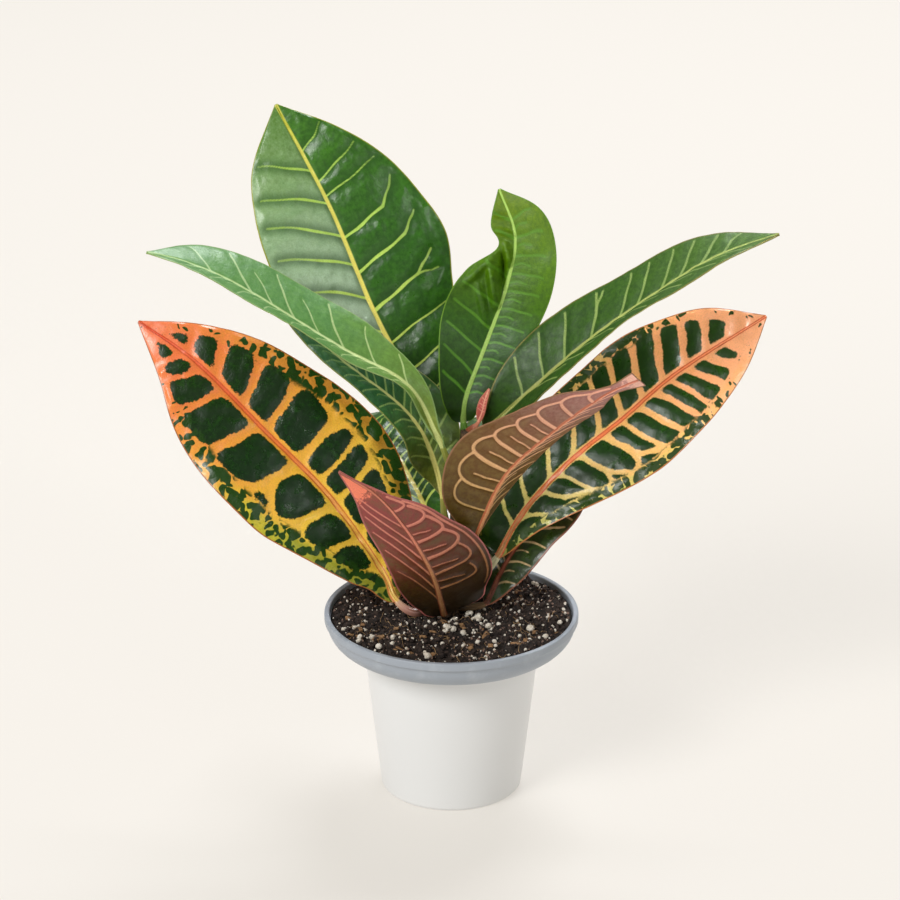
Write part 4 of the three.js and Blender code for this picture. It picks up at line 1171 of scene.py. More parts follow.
    mottled_right = Leaf(
        "leaf_right_mottled", "leaf_mottled",
        route=[(6, 0, 110), (13, -1, 114), (23, 0, 126), (37, 4, 150), (60, 12, 174), (87, 22, 193.5),
               (115, 32, 215), (160, 44, 241)],
        left=(13, 22, 28, 31, 34, 33, 28, 20, 0.5), right=(2, 13, 23, 30, 34, 32, 28, 18, 0.5),
        facing=[(-0.2, -0.8, 0.6), (-0.25, -0.75, 0.61), (-0.1, -0.85, 0.5)],
        fold=((20, 15, 8), (15, 8, 5)), curl=((0, 12, 20), (0, 15, 15)),
        wave=Wave(1.6, 3, 0.5), radius=2.0,
        veins_left=veins(
            (0.955, 0.985, 4.0, 3.0), (0.9, 0.94, 4.2, 4.5), (0.81, 0.86, 1.2, 1.8),
            (0.74, 0.8, 1.3, 1.4), (0.665, 0.735, 1.2, 1.4), (0.59, 0.67, 1.1, 1.3),
            (0.515, 0.6, 1.0, 1.0), (0.43, 0.52, 0.8, 0.7, 0.01), (0.34, 0.44, 0.7, 0.5, 0.01),
            (0.25, 0.35, 0.5, 0.5, 0.01), (0.16, 0.25, 0.5, 0.4), (0.09, 0.16, 0.4, 0.35),
        ),
        veins_right=veins(
            (0.95, 0.985, 4.0, 3.0), (0.885, 0.94, 4.5, 5.0), (0.8, 0.87, 1.4, 2.6),
            (0.735, 0.81, 1.2, 1.5), (0.68, 0.74, 0.9, 1.0), (0.625, 0.69, 1.1, 1.2),
            (0.565, 0.62, 1.2, 1.2), (0.505, 0.55, 0.7, 0.7), (0.445, 0.48, 1.3, 1.1, 0, 0, 0.6),
            (0.48, 0.57, 0.9, 0.8, 0, 0.6, 0.86), (0.48, 0.45, 0.6, 0.5, 0, 0.62, 0.88),
            (0.355, 0.39, 1.0, 0.8, 0, 0, 0.6), (0.39, 0.45, 0.6, 0.5, 0, 0.6, 0.84),
            (0.39, 0.37, 0.5, 0.4, 0, 0.62, 0.86), (0.28, 0.33, 0.4, 0.35),
            (0.21, 0.25, 0.6, 0.5, 0, 0, 0.55), (0.25, 0.35, 0.5, 0.4, 0, 0.55, 0.84),
            (0.12, 0.2, 0.45, 0.35),
        ),
        grain=Grain(cell=0.68, quilt=0.7, quilt_width=3.5, web=0.75, rib_band=(1.2, 1.9),
                    rim_left=(1.5, 3, 5, 6, 6, 5, 4, 7, 12), rim_right=(1.5, 4, 6, 6, 6, 6, 5, 8, 12)),
        rib=(1.3, 0.5), base_round=0.012,
    )
    hooked = veins(
        (0.14, 0.13, 0.3, 0.25, 0, 0, 0.76, 0.11), (0.235, 0.225, 0.45, 0.3, 0, 0, 0.78, 0.12),
        (0.34, 0.325, 0.75, 0.45, 0, 0, 0.79, 0.115), (0.43, 0.42, 0.75, 0.4, 0, 0, 0.77, 0.115),
        (0.525, 0.515, 0.75, 0.4, 0, 0, 0.77, 0.11), (0.615, 0.61, 0.75, 0.45, 0, 0, 0.77, 0.115),
        (0.7, 0.71, 0.7, 0.4, 0, 0, 0.76, 0.11), (0.8, 0.81, 0.6, 0.4, 0, 0, 0.72, 0.08),
        (0.285, 0.28, 0.2, 0.15, 0, 0, 0.5), (0.385, 0.38, 0.2, 0.15, 0, 0, 0.5),
        (0.48, 0.48, 0.2, 0.15, 0, 0, 0.5), (0.575, 0.575, 0.2, 0.15, 0, 0, 0.5),
    )
    mauve = Leaf(
        "leaf_front_right", "leaf_dusky",
        route=[(5, -6, 124), (9, -10, 132), (13, -14, 146), (27, -24, 182), (51, -34, 210),
               (74, -42, 231), (91, -48, 242)],
        left=(1.5, 11, 17, 20, 22, 20, 14, 4, 6), right=(4, 22, 29, 31, 28, 25, 18, 5, 6),
        facing=[(-0.7, 0.5, 0.4), (-0.6, 0.55, 0.5), (-0.5, 0.6, 0.6), (-0.45, 0.6, 0.65),
                (-0.4, 0.85, 0.3)],
        fold=((8, 6, 0), (40, 40, 10)), curl=((0, 0, 5), (0, 0, 5)),
        wave=Wave(1.0, 2, 0.4), stalk=0.14, radius=1.8,
        veins_left=even_veins(0.12, 0.8, 9, 0.08, (0.5, 0.3)), veins_right=hooked,
        grain=Grain(cell=0.66, upper_step=2, under_step=1, quilt=0.4, quilt_width=2.0, under_vein=0.45),
        rib=(1.3, 0.5),
    )
    swept = veins(
        (0.19, 0.13, 0.5, 0.35, 0, 0, 0.72, 0.1), (0.285, 0.22, 0.65, 0.4, 0, 0, 0.76, 0.13),
        (0.385, 0.32, 0.9, 0.6, 0, 0, 0.79, 0.14), (0.49, 0.425, 0.9, 0.6, 0, 0, 0.8, 0.14),
        (0.59, 0.535, 0.8, 0.5, 0, 0, 0.78, 0.13), (0.69, 0.645, 0.65, 0.4, 0, 0, 0.76, 0.12),
        (0.335, 0.29, 0.3, 0.2, 0, 0, 0.5), (0.44, 0.39, 0.3, 0.2, 0, 0, 0.5),
        (0.54, 0.5, 0.3, 0.2, 0, 0, 0.5), (0.24, 0.19, 0.3, 0.2, 0, 0, 0.5),
    )
    maroon = Leaf(
        "leaf_front_left", "leaf_dusky",
        route=[(-1.5, -6.3, 98.5), (-3.5, -11, 99.5), (-5, -17, 108), (-8, -26, 124), (-13, -34, 140),
               (-23, -42, 161), (-37, -50, 182), (-55, -56, 197)],
        left=(20, 30, 31, 27, 20, 14, 5, 1, 0.5), right=(8, 16, 19, 19, 18, 17, 14, 8, 0.5),
        facing=[(-0.2, 0.95, 0.3), (-0.33, 0.9, 0.29), (-0.3, 0.85, 0.4)],
        fold=((12, 12, 8), (12, 12, 8)), curl=((0, 0, 5), (0, 0, 5)),
        wave=Wave(0.8, 2, 0.8), stalk=0.05, radius=1.8,
        veins_left=(*swept, Vein(0.08, 0.7, 0.35, 0.45, 0, 0.92, 0.88)),
        veins_right=veins(
            (0.1, 0.38, 0.22, 0.15, 0.01, 0, 0.8), (0.18, 0.52, 0.3, 0.18, 0.01, 0, 0.84),
            (0.27, 0.64, 0.34, 0.2, 0.01, 0, 0.86), (0.37, 0.74, 0.34, 0.2, 0.01, 0, 0.86),
            (0.47, 0.81, 0.3, 0.2, 0.01, 0, 0.84), (0.58, 0.86, 0.25, 0.18, 0.01, 0, 0.8),
        ),
        grain=Grain(cell=0.64, upper_step=2, under_step=1, quilt=0.5, quilt_width=2.6, under_vein=0.5),
        rib=(1.1, 0.5),
    )
    low = Leaf(
        "leaf_right_low", "leaf_dusky",
        route=[(5, -2, 100.2), (12.5, -3, 100.5), (19, -2, 103.5), (25.5, 2, 117), (34.5, 7, 130.5),
               (55.5, 16, 151.5), (76, 24, 166)],
        left=(3, 15, 20, 20, 18, 16, 14, 8, 0.5), right=(1.5, 9, 14, 16, 16, 16, 14, 8, 0.5),
        facing=[(-0.3, -0.7, 0.6), (-0.4, -0.6, 0.7), (-0.3, -0.5, 0.8)],
        fold=((10, 5, 0), (10, 5, 5)), curl=((0, 10, 15), (0, 10, 15)),
        wave=Wave(0.8, 2, 0.1), radius=1.8,
        veins_left=even_veins(0.2, 0.85, 7, 0.06, (0.45, 0.3)),
        veins_right=(Vein(0.49, 0.56, 0.55, 0.45, 0, 0, 0.5), Vein(0.56, 0.62, 0.45, 0.35, 0, 0.5, 0.85),
                     *even_veins(0.12, 0.4, 3, 0.06, (0.4, 0.3)),
                     *even_veins(0.62, 0.88, 3, 0.06, (0.4, 0.3))),
        grain=Grain(cell=0.8),
    )
    rear = {"veins_left": even_veins(0.15, 0.85, 9, 0.08, (0.5, 0.3)),
            "veins_right": even_veins(0.12, 0.83, 9, 0.08, (0.5, 0.3)), "grain": coarse}
    rear_left = Leaf(
        "leaf_rear_left", "leaf_green",
        route=[(-2, 4.5, 126), (-6, 12, 130), (-15, 30, 144), (-28, 54, 160), (-40, 78, 168),
               (-51, 98, 163), (-58, 112, 150)],
        left=(2, 12, 20, 24, 25, 23, 18, 11, 0.5), right=(2, 12, 20, 24, 25, 23, 18, 11, 0.5),
        facing=[(0.2, -0.5, 0.8), (0.2, -0.4, 0.9), (-0.2, 0.4, 0.9)],
        fold=((20, 15, 10), (20, 15, 10)), curl=((0, 15, 15), (0, 15, 15)),
        wave=Wave(1.2, 3, 0.3), **rear,
    )
    rear_right = Leaf(
        "leaf_rear_right", "leaf_green",
        route=[(6, 4.5, 150), (10, 13, 153), (18, 34, 163), (28, 58, 170), (37, 82, 168), (44, 103, 157)],
        left=(2, 12, 20, 24, 24, 22, 17, 10, 0.5), right=(2, 12, 20, 24, 24, 22, 17, 10, 0.5),
        facing=[(-0.1, -0.5, 0.8), (-0.2, -0.3, 0.9), (0.2, 0.4, 0.9)],
        fold=((20, 15, 10), (20, 15, 10)), curl=((0, 15, 15), (0, 15, 15)),
        wave=Wave(1.2, 3, 0.7), **rear,
    )
    young = Leaf(
        "leaf_young_shoot", "leaf_young",
        route=[(10.6, 0, 197.6), (13, -0.6, 200), (15.5, -1, 206), (17, -1, 213), (19, -1, 219)],
        left=(1, 2.4, 3.2, 3.5, 3.4, 3, 2.3, 1.4, 0.5), right=(1, 2.4, 3.2, 3.5, 3.4, 3, 2.3, 1.4, 0.5),
        facing=[(-0.6, -0.6, 0.4), (-0.6, -0.7, 0.2), (-0.5, -0.8, 0.1)],
        fold=((30, 40, 40), (30, 40, 40)), curl=((0, 0, 0), (0, 0, 0)),
        wave=Wave(0, 1, 0), stalk=0.2, radius=1.0,
        veins_left=even_veins(0.3, 0.8, 4, 0.08, (0.15, 0.1)),
        veins_right=even_veins(0.3, 0.8, 4, 0.08, (0.15, 0.1)),
        grain=Grain(cell=0.3, quilt=0.1, quilt_width=0.6, under_vein=0.1, crinkle=0.05), rib=(0.4, 0.2),
        rib_proud=0.1, thickness=0.7, edge=0.4,
    )
    f = LeafFaces
    return [
        (tall, f.GREEN, f.PALE_UNDER), (satin, f.SATIN, f.PALE_UNDER), (shaded, f.SHADED, f.PALE_UNDER),
        (mottled_left, f.MOTTLED_LEFT, f.RED_UNDER), (upright, f.BRIGHT, f.PALE_UNDER),
        (ribbed, f.ARCHING, f.PALE_UNDER), (mottled_right, f.MOTTLED_RIGHT, f.RED_UNDER),
        (mauve, f.LOW, f.DUSKY_UNDER), (maroon, f.LOW, f.MAROON_UNDER), (low, f.LOW, f.RED_UNDER),
        (rear_left, f.GREEN, f.PALE_UNDER), (rear_right, f.ARCHING, f.PALE_UNDER), (young, f.YOUNG, f.YOUNG),
    ]


def arc_corners(profile: Sequence[tuple[float, float, float]], steps: int = 5) -> Grid:
    """Round the corners of a profile.

    Args:
        profile: Radius, height and corner radius of each corner, in mm.
        steps: How many stretches each arc has.

    Returns:
        The profile's points.
    """
    points = np.array([p[:2] for p in profile], float)
    rounded = [points[0]]
    for i in range(1, len(points) - 1):
        to_last, to_next = points[i - 1] - points[i], points[i + 1] - points[i]
        reach = min(profile[i][2], 0.49 * np.linalg.norm(to_last), 0.49 * np.linalg.norm(to_next))
        if reach < 1e-6:
            rounded.append(points[i])
            continue
        start, end = points[i] + unit(to_last) * reach, points[i] + unit(to_next) * reach
        for t in np.linspace(0, 1, steps + 1):
            rounded.append((1 - t) ** 2 * start + 2 * t * (1 - t) * points[i] + t**2 * end)
    rounded.append(points[-1])
    return np.array(rounded)


def turned(profile: Grid, sides: int) -> Skin:
    """Turn a profile that starts and ends on the axis into a closed skin."""
    angle = np.linspace(0, 2 * math.pi, sides, endpoint=False)
    rings = profile[1:-1]
    body = np.stack([
        rings[:, :1] * np.cos(angle), rings[:, :1] * np.sin(angle), rings[:, 1:] + 0 * angle
    ], -1).reshape(-1, 3)
    points = np.concatenate([body, [[0, 0, profile[0, 1]], [0, 0, profile[-1, 1]]]])
    return Skin(points, closed_tube(len(rings), sides))


def straight(profile: Grid, longest: float = 3.6) -> Grid:
    """Split a profile's long stretches, so that no face of the turned piece is long and thin."""
    points = [profile[0]]
    for a, b in zip(profile, profile[1:]):
        count = max(int(math.ceil(np.linalg.norm(b - a) / longest)), 1)
        points += [a + (b - a) * (i + 1) / count for i in range(count)]
    return np.array(points)


@dataclass(frozen=True)
class GlazedEarthenware:
    """Slip-cast earthenware under an even white glaze, which gives a smooth soft mirror."""

    glaze: str = "#dfe0e0"
    roughness: float = 0.3
    ior: float = 1.52
    coat: float = 0.3

    def build(self) -> Material:
        """Make the material. The glaze pools over about 25 mm, a few hundredths deep."""
        f = Finish("glazed_earthenware", self.roughness, self.ior, self.coat)
        pools = f.add(Node.NOISE, f.add(Node.OBJECT_SPACE), 1 / (25 * MM), 1.0)
        return f.dress(pools, 0.04, {"Base Color": self.glaze})


@dataclass(frozen=True)
class MouldedPolypropylene:
    """Injection-moulded grey polypropylene: an even satin with a fine spark texture and dust."""

    body: str = "#99a0a9"
    dust: str = "#b2b8be"
    roughness: float = 0.42
    ior: float = 1.49

    def build(self) -> Material:
        """Make the material. Its mould grain is about 0.6 mm, drawn a little coarser than real."""
        f = Finish("moulded_polypropylene", self.roughness, self.ior)
        place = f.add(Node.OBJECT_SPACE)
        grit = f.add(Node.NOISE, place, 1 / (0.6 * MM), 2.0)
        dust = f.add(Node.NOISE, place, 1 / (14 * MM), 4.0, 0.65)
        return f.dress(grit, 0.05, {
            "Base Color": f.add(Node.LAYER, f.add(Node.SPAN, dust, 0.45, 0.75, 0, 0.6), self.body, self.dust),
            "Roughness": f.add(Node.SPAN, dust, 0.3, 0.7, self.roughness - 0.05, self.roughness + 0.15),
        })


@dataclass(frozen=True)
class Grit:
    """A loose ingredient of the potting mix: fibrous, porous and dry, with no gloss of its own."""

    name: str
    pale: str
    dark: str
    grain: float
    depth: float
    roughness: float = 0.92

    def build(self) -> Material:
        """Make the material, with the ingredient's own grain in mm."""
        f = Finish(self.name, self.roughness, 1.45)
        place = f.add(Node.OBJECT_SPACE)
        coarse = f.add(Node.NOISE, place, 1 / (4 * self.grain * MM), 3.0)
        fine = f.add(Node.NOISE, place, 1 / (self.grain * MM), 4.0, 0.7)
        pale = f.add(Node.SPAN, f.add(Node.SUM, fine, 0.6, coarse), 0.55, 1.0)
        return f.dress(fine, self.depth, {"Base Color": f.add(Node.LAYER, pale, self.dark, self.pale)})


class Grits(Enum):
    """What the potting mix holds."""

    PEAT = Grit("milled_peat", "#362a22", "#0d0907", 0.7, 0.5)
    CRUMB = Grit("peat_crumbs", "#3c2f28", "#120c09", 0.6, 0.4)
    HUMUS = Grit("aged_bark_crumbs", "#a08474", "#503c32", 0.5, 0.3)
    PERLITE = Grit("expanded_perlite", "#e6dfd2", "#b9ad9a", 0.5, 0.15, 0.8)
    BARK = Grit("composted_pine_bark", "#9a7650", "#5a3f28", 0.9, 0.25)
    FIBRE = Grit("coir_fibre", "#a5855c", "#6c5236", 0.5, 0.08, 0.75)


@dataclass(frozen=True)
class CrotonBark:
    """The corky young bark of a croton: dull brown ridges over green-brown, ringed by leaf scars."""

    ridge: str = "#6a5238"
    furrow: str = "#2c2015"
    lenticel: str = "#9c8460"

    def build(self) -> Material:
        """Make the material. Ridges are about 0.9 mm apart, lenticels about 1.6 mm."""
        f = Finish("croton_bark", 0.78, 1.45)
        place = f.add(Node.OBJECT_SPACE)
        drawn = f.add(Node.STRETCH, place, (1, 1, 0.25))
        ridges = f.add(Node.NOISE, drawn, 1 / (0.9 * MM), 4.0, 0.6)
        spots = f.add(Node.SPAN, f.add(Node.CELLS, place, 1 / (3.2 * MM), feature="F1"), 0.16, 0.1, 0, 0.7)
        bark = f.add(Node.LAYER, f.add(Node.SPAN, ridges, 0.4, 0.65), self.furrow, self.ridge)
        return f.dress(ridges, 0.35, {"Base Color": f.add(Node.LAYER, spots, bark, self.lenticel)})


@dataclass
class Cachepot:
    """The white glazed outer pot, in mm."""

    foot_radius: float = 36.0
    rim_radius: float = 45.8
    height: float = 79.0
    wall: float = 3.5
    floor: float = 5.0
    band_depth: float = 2.4
    band_proud: float = 0.7
    foot_bevel: float = 1.2
    foot_ring: float = 5.0
    foot_hollow: float = 0.6
    sides: int = 144

    def outer(self, z: float) -> float:
        """Give the outside radius at a height."""
        return self.foot_radius + (self.rim_radius - self.band_proud - self.foot_radius) * z / self.height

    def build(self) -> Piece:
        """Turn the pot with its rolled band and glazed floor."""
        band = self.height - self.band_depth
        inside = self.rim_radius - self.wall
        ring, hollow = self.foot_radius - self.foot_ring, self.foot_hollow
        profile = arc_corners([
            (0, hollow, 0), (ring, hollow, 0.4), (ring + hollow, 0, 0.4),
            (self.foot_radius - self.foot_bevel, 0, 0.6), (self.outer(self.foot_bevel), self.foot_bevel, 0.8),
            (self.outer(band - 0.4), band - 0.4, 0.5), (self.rim_radius, band + 0.3, 0.6),
            (self.rim_radius, self.height, 0.9), (inside, self.height, 0.9),
            (self.outer(self.floor + 3) - self.wall, self.floor + 3, 3),
            (self.outer(self.floor) - self.wall - 3, self.floor, 2), (0, self.floor, 0),
        ])
        skin = turned(straight(profile), self.sides)
        skin.materials = (GlazedEarthenware().build(),)
        return skin.piece("cachepot_glazed", "cachepot", "cachepot")


@dataclass
class GrowPot:
    """The grey pot that hangs by its collar in the cachepot, in mm."""

    rim_radius: float = 65.0
    rim_height: float = 97.0
    wall: float = 1.8
    lip_depth: float = 4.5
    lip_proud: float = 0.9
    floor_radius: float = 29.0
    floor_height: float = 9.0
    neck_radius: float = 39.4
    seat_height: float = 79.3
    seat_radius: float = 47.0
    bowl_depth: float = 12.5
    bowl_radius: float = 63.6
    drain_radius: float = 2.5
    drain_circle: float = 16.0
    drains: int = 4
    sides: int = 144

    def side(self, inset: float) -> list[tuple[float, float, float]]:
        """Give the wall from the floor to under the lip, set in from the outside by a distance."""
        seat = self.seat_height + inset
        low, high = self.seat_radius - inset / 2, self.bowl_radius - inset
        wide, deep = high - low, self.bowl_depth
        turns = np.linspace(0, math.pi / 2, 13)
        bowl = [(low + wide * math.sin(t), seat + deep * (1 - math.cos(t)), 0) for t in turns]
        foot = (self.floor_radius - inset, self.floor_height + inset, 1.2)
        return [foot, (self.neck_radius - inset, seat, 0.5), *bowl]

    def build(self) -> Piece:
        """Turn the pot and drill its drains."""
        throat = self.rim_radius - self.lip_proud
        foot = self.rim_height - self.lip_depth
        inner = throat - self.wall
        profile = arc_corners([
            (0, self.floor_height, 0), *self.side(0), (throat, foot, 0.2), (self.rim_radius, foot + 0.5, 0.5),
            (self.rim_radius, self.rim_height, 0.9), (inner, self.rim_height, 0.9), (inner, foot, 0.4),
            *self.side(self.wall)[::-1], (0, self.floor_height + self.wall, 0),
        ])
        skin = turned(straight(profile), self.sides)
        skin.materials = (MouldedPolypropylene().build(),)
        pot = skin.piece("grow_pot_moulded", "grow_pot", "grow_pot")
        self.drill(pot)
        return pot

    def drill(self, pot: Piece) -> None:
        """Cut the drains through the floor."""
        for i in range(self.drains):
            angle = (i + 0.5) * 2 * math.pi / self.drains
            low, high = self.floor_height - 2, self.floor_height + self.wall + 2
            side = self.drain_radius
            punch = turned(np.array([[0, low], [side, low], [side, high], [0, high]]), 32)
            punch.points += [self.drain_circle * math.cos(angle), self.drain_circle * math.sin(angle), 0]
            tool = bpy.data.objects.new("punch", punch.mesh("punch"))
            bpy.context.scene.collection.objects.link(tool)
            cut = pot.modifiers.new("drain", "BOOLEAN")
            cut.operation, cut.object, cut.solver = "DIFFERENCE", tool, "EXACT"
            bpy.context.view_layer.update()
            done = bpy.data.meshes.new_from_object(pot.evaluated_get(bpy.context.evaluated_depsgraph_get()))
            pot.modifiers.clear()
            pot.data = done
            bpy.data.objects.remove(tool)


@dataclass
class Stem:
    """The woody stem with its leaf scars, in mm and in shares of its length."""

    route: Sequence = ((0, 0, 66), (0, 0, 80), (0, 0, 94), (1, 0, 112), (2.5, -1, 134), (4.5, -1, 156),
                       (6.5, 0, 178), (8, 2, 195))
    foot_radius: float = 5.4
    top_radius: float = 3.4
    swell: float = 0.45
    swellings: int = 5
    swells_from: float = 0.25
    ridge: float = 0.22
    ridge_width: float = 2.4
    scars: int = 12
    scars_from: float = 0.22
    scar_step: float = 0.062
    scar_turn: float = 2.4
    scar_proud: float = 0.18
    scar_height: float = 0.006
    scar_bow: float = 0.012
    rows: int = 230
    sides: int = 56

    def axis_at(self, height: float) -> Grid:
        """Give the point of the stem's axis at a height."""
        points = blend(self.route, np.linspace(0, 1, 241))
        return points[min(int(np.searchsorted(points[:, 2], height)), 240)]

    def radius(self, share: Grid) -> Grid:
        """Give the stem's radius, swollen where leaves have stood."""
        swelling = np.maximum(np.sin(2 * math.pi * self.swellings * share), 0) ** 3
        plain = self.foot_radius + (self.top_radius - self.foot_radius) * share
        return plain + self.swell * swelling * (share > self.swells_from)

    def build(self) -> Piece:
        """Mesh the stem with its bark ridges and a crescent at each scar."""
        share = np.linspace(0, 1, self.rows)
        point, along, _ = walk(self.route, share)
        east = unit(np.array([1.0, 0, 0]) - along * along[:, :1])
        north = np.cross(along, east)
        angle = np.linspace(0, 2 * math.pi, self.sides, endpoint=False)
        out = east[:, None] * np.cos(angle)[:, None] + north[:, None] * np.sin(angle)[:, None]
        base = point[:, None] + out * self.radius(share)[:, None, None]
        # Ridges run along the stem, so their bumps are drawn out upwards
        ridges = self.ridge * np.abs(rough(base * [1, 1, 0.22], self.ridge_width, 3, 3)) - 0.2
        crescents = np.zeros(base.shape[:2])
        for i in range(self.scars):
            bend = np.cos(angle - i * self.scar_turn)[None, :]
            height = (self.scars_from + self.scar_step * i - share)[:, None] + self.scar_bow * (1 - bend)
            crescents += np.exp(-((height / self.scar_height) ** 2)) * ease(0.2, 0.8, bend)
        points = (base + out * (ridges + self.scar_proud * crescents)[..., None]).reshape(-1, 3)
        points = np.concatenate([points, [point[0], point[-1] + along[-1] * 0.3]])
        skin = Skin(points, closed_tube(self.rows, self.sides), (CrotonBark().build(),))
        return skin.piece("stem_barked", "stem", "stem")


def pebble(level: int) -> tuple[Grid, Grid]:
    """Give a round grain's points and triangles.

    Args:
        level: How many times its faces are split.

    Returns:
        Points at a distance of 1 from its middle, and triangles.
    """
    t = (1 + 5**0.5) / 2
    points = [(-1, t, 0), (1, t, 0), (-1, -t, 0), (1, -t, 0), (0, -1, t), (0, 1, t), (0, -1, -t), (0, 1, -t),
              (t, 0, -1), (t, 0, 1), (-t, 0, -1), (-t, 0, 1)]
    faces = [(0, 11, 5), (0, 5, 1), (0, 1, 7), (0, 7, 10), (0, 10, 11), (1, 5, 9), (5, 11, 4), (11, 10, 2),
             (10, 7, 6), (7, 1, 8), (3, 9, 4), (3, 4, 2), (3, 2, 6), (3, 6, 8), (3, 8, 9), (4, 9, 5),
             (2, 4, 11), (6, 2, 10), (8, 6, 7), (9, 8, 1)]
    for _ in range(level):
        middle: dict[tuple[int, int], int] = {}
        split = []
        for a, b, c in faces:
            mids = []
            for i, j in ((a, b), (b, c), (c, a)):
                key = (min(i, j), max(i, j))
                if key not in middle:
                    middle[key] = len(points)
                    points.append(tuple((np.array(points[i]) + points[j]) / 2))
                mids.append(middle[key])
            split += [(a, mids[0], mids[2]), (b, mids[1], mids[0]), (c, mids[2], mids[1]), tuple(mids)]
        faces = split
    return unit(np.array(points)), np.array(faces)


def spins(random: np.random.Generator, count: int) -> Grid:
    """Give random turns as 3 by 3 matrices."""
    q = unit(random.normal(size=(count, 4)))
    w, x, y, z = q.T
    return np.stack([
        np.stack([1 - 2 * (y * y + z * z), 2 * (x * y - z * w), 2 * (x * z + y * w)], -1),
        np.stack([2 * (x * y + z * w), 1 - 2 * (x * x + z * z), 2 * (y * z - x * w)], -1),
        np.stack([2 * (x * z - y * w), 2 * (y * z + x * w), 1 - 2 * (x * x + y * y)], -1),
    ], 1)


@dataclass(frozen=True)
class Draw:
    """One draw of grains: how many, their least and most radius in mm, and how they look.

    level says how finely each is meshed, lumpy how uneven it is and proud how far it stands out of the
    bed, both as shares of its radius. Small grains are commoner the more favour is above 1.
    """

    count: int
    size: tuple[float, float]
    level: int
    lumpy: float
    proud: float
    favour: float = 1.6


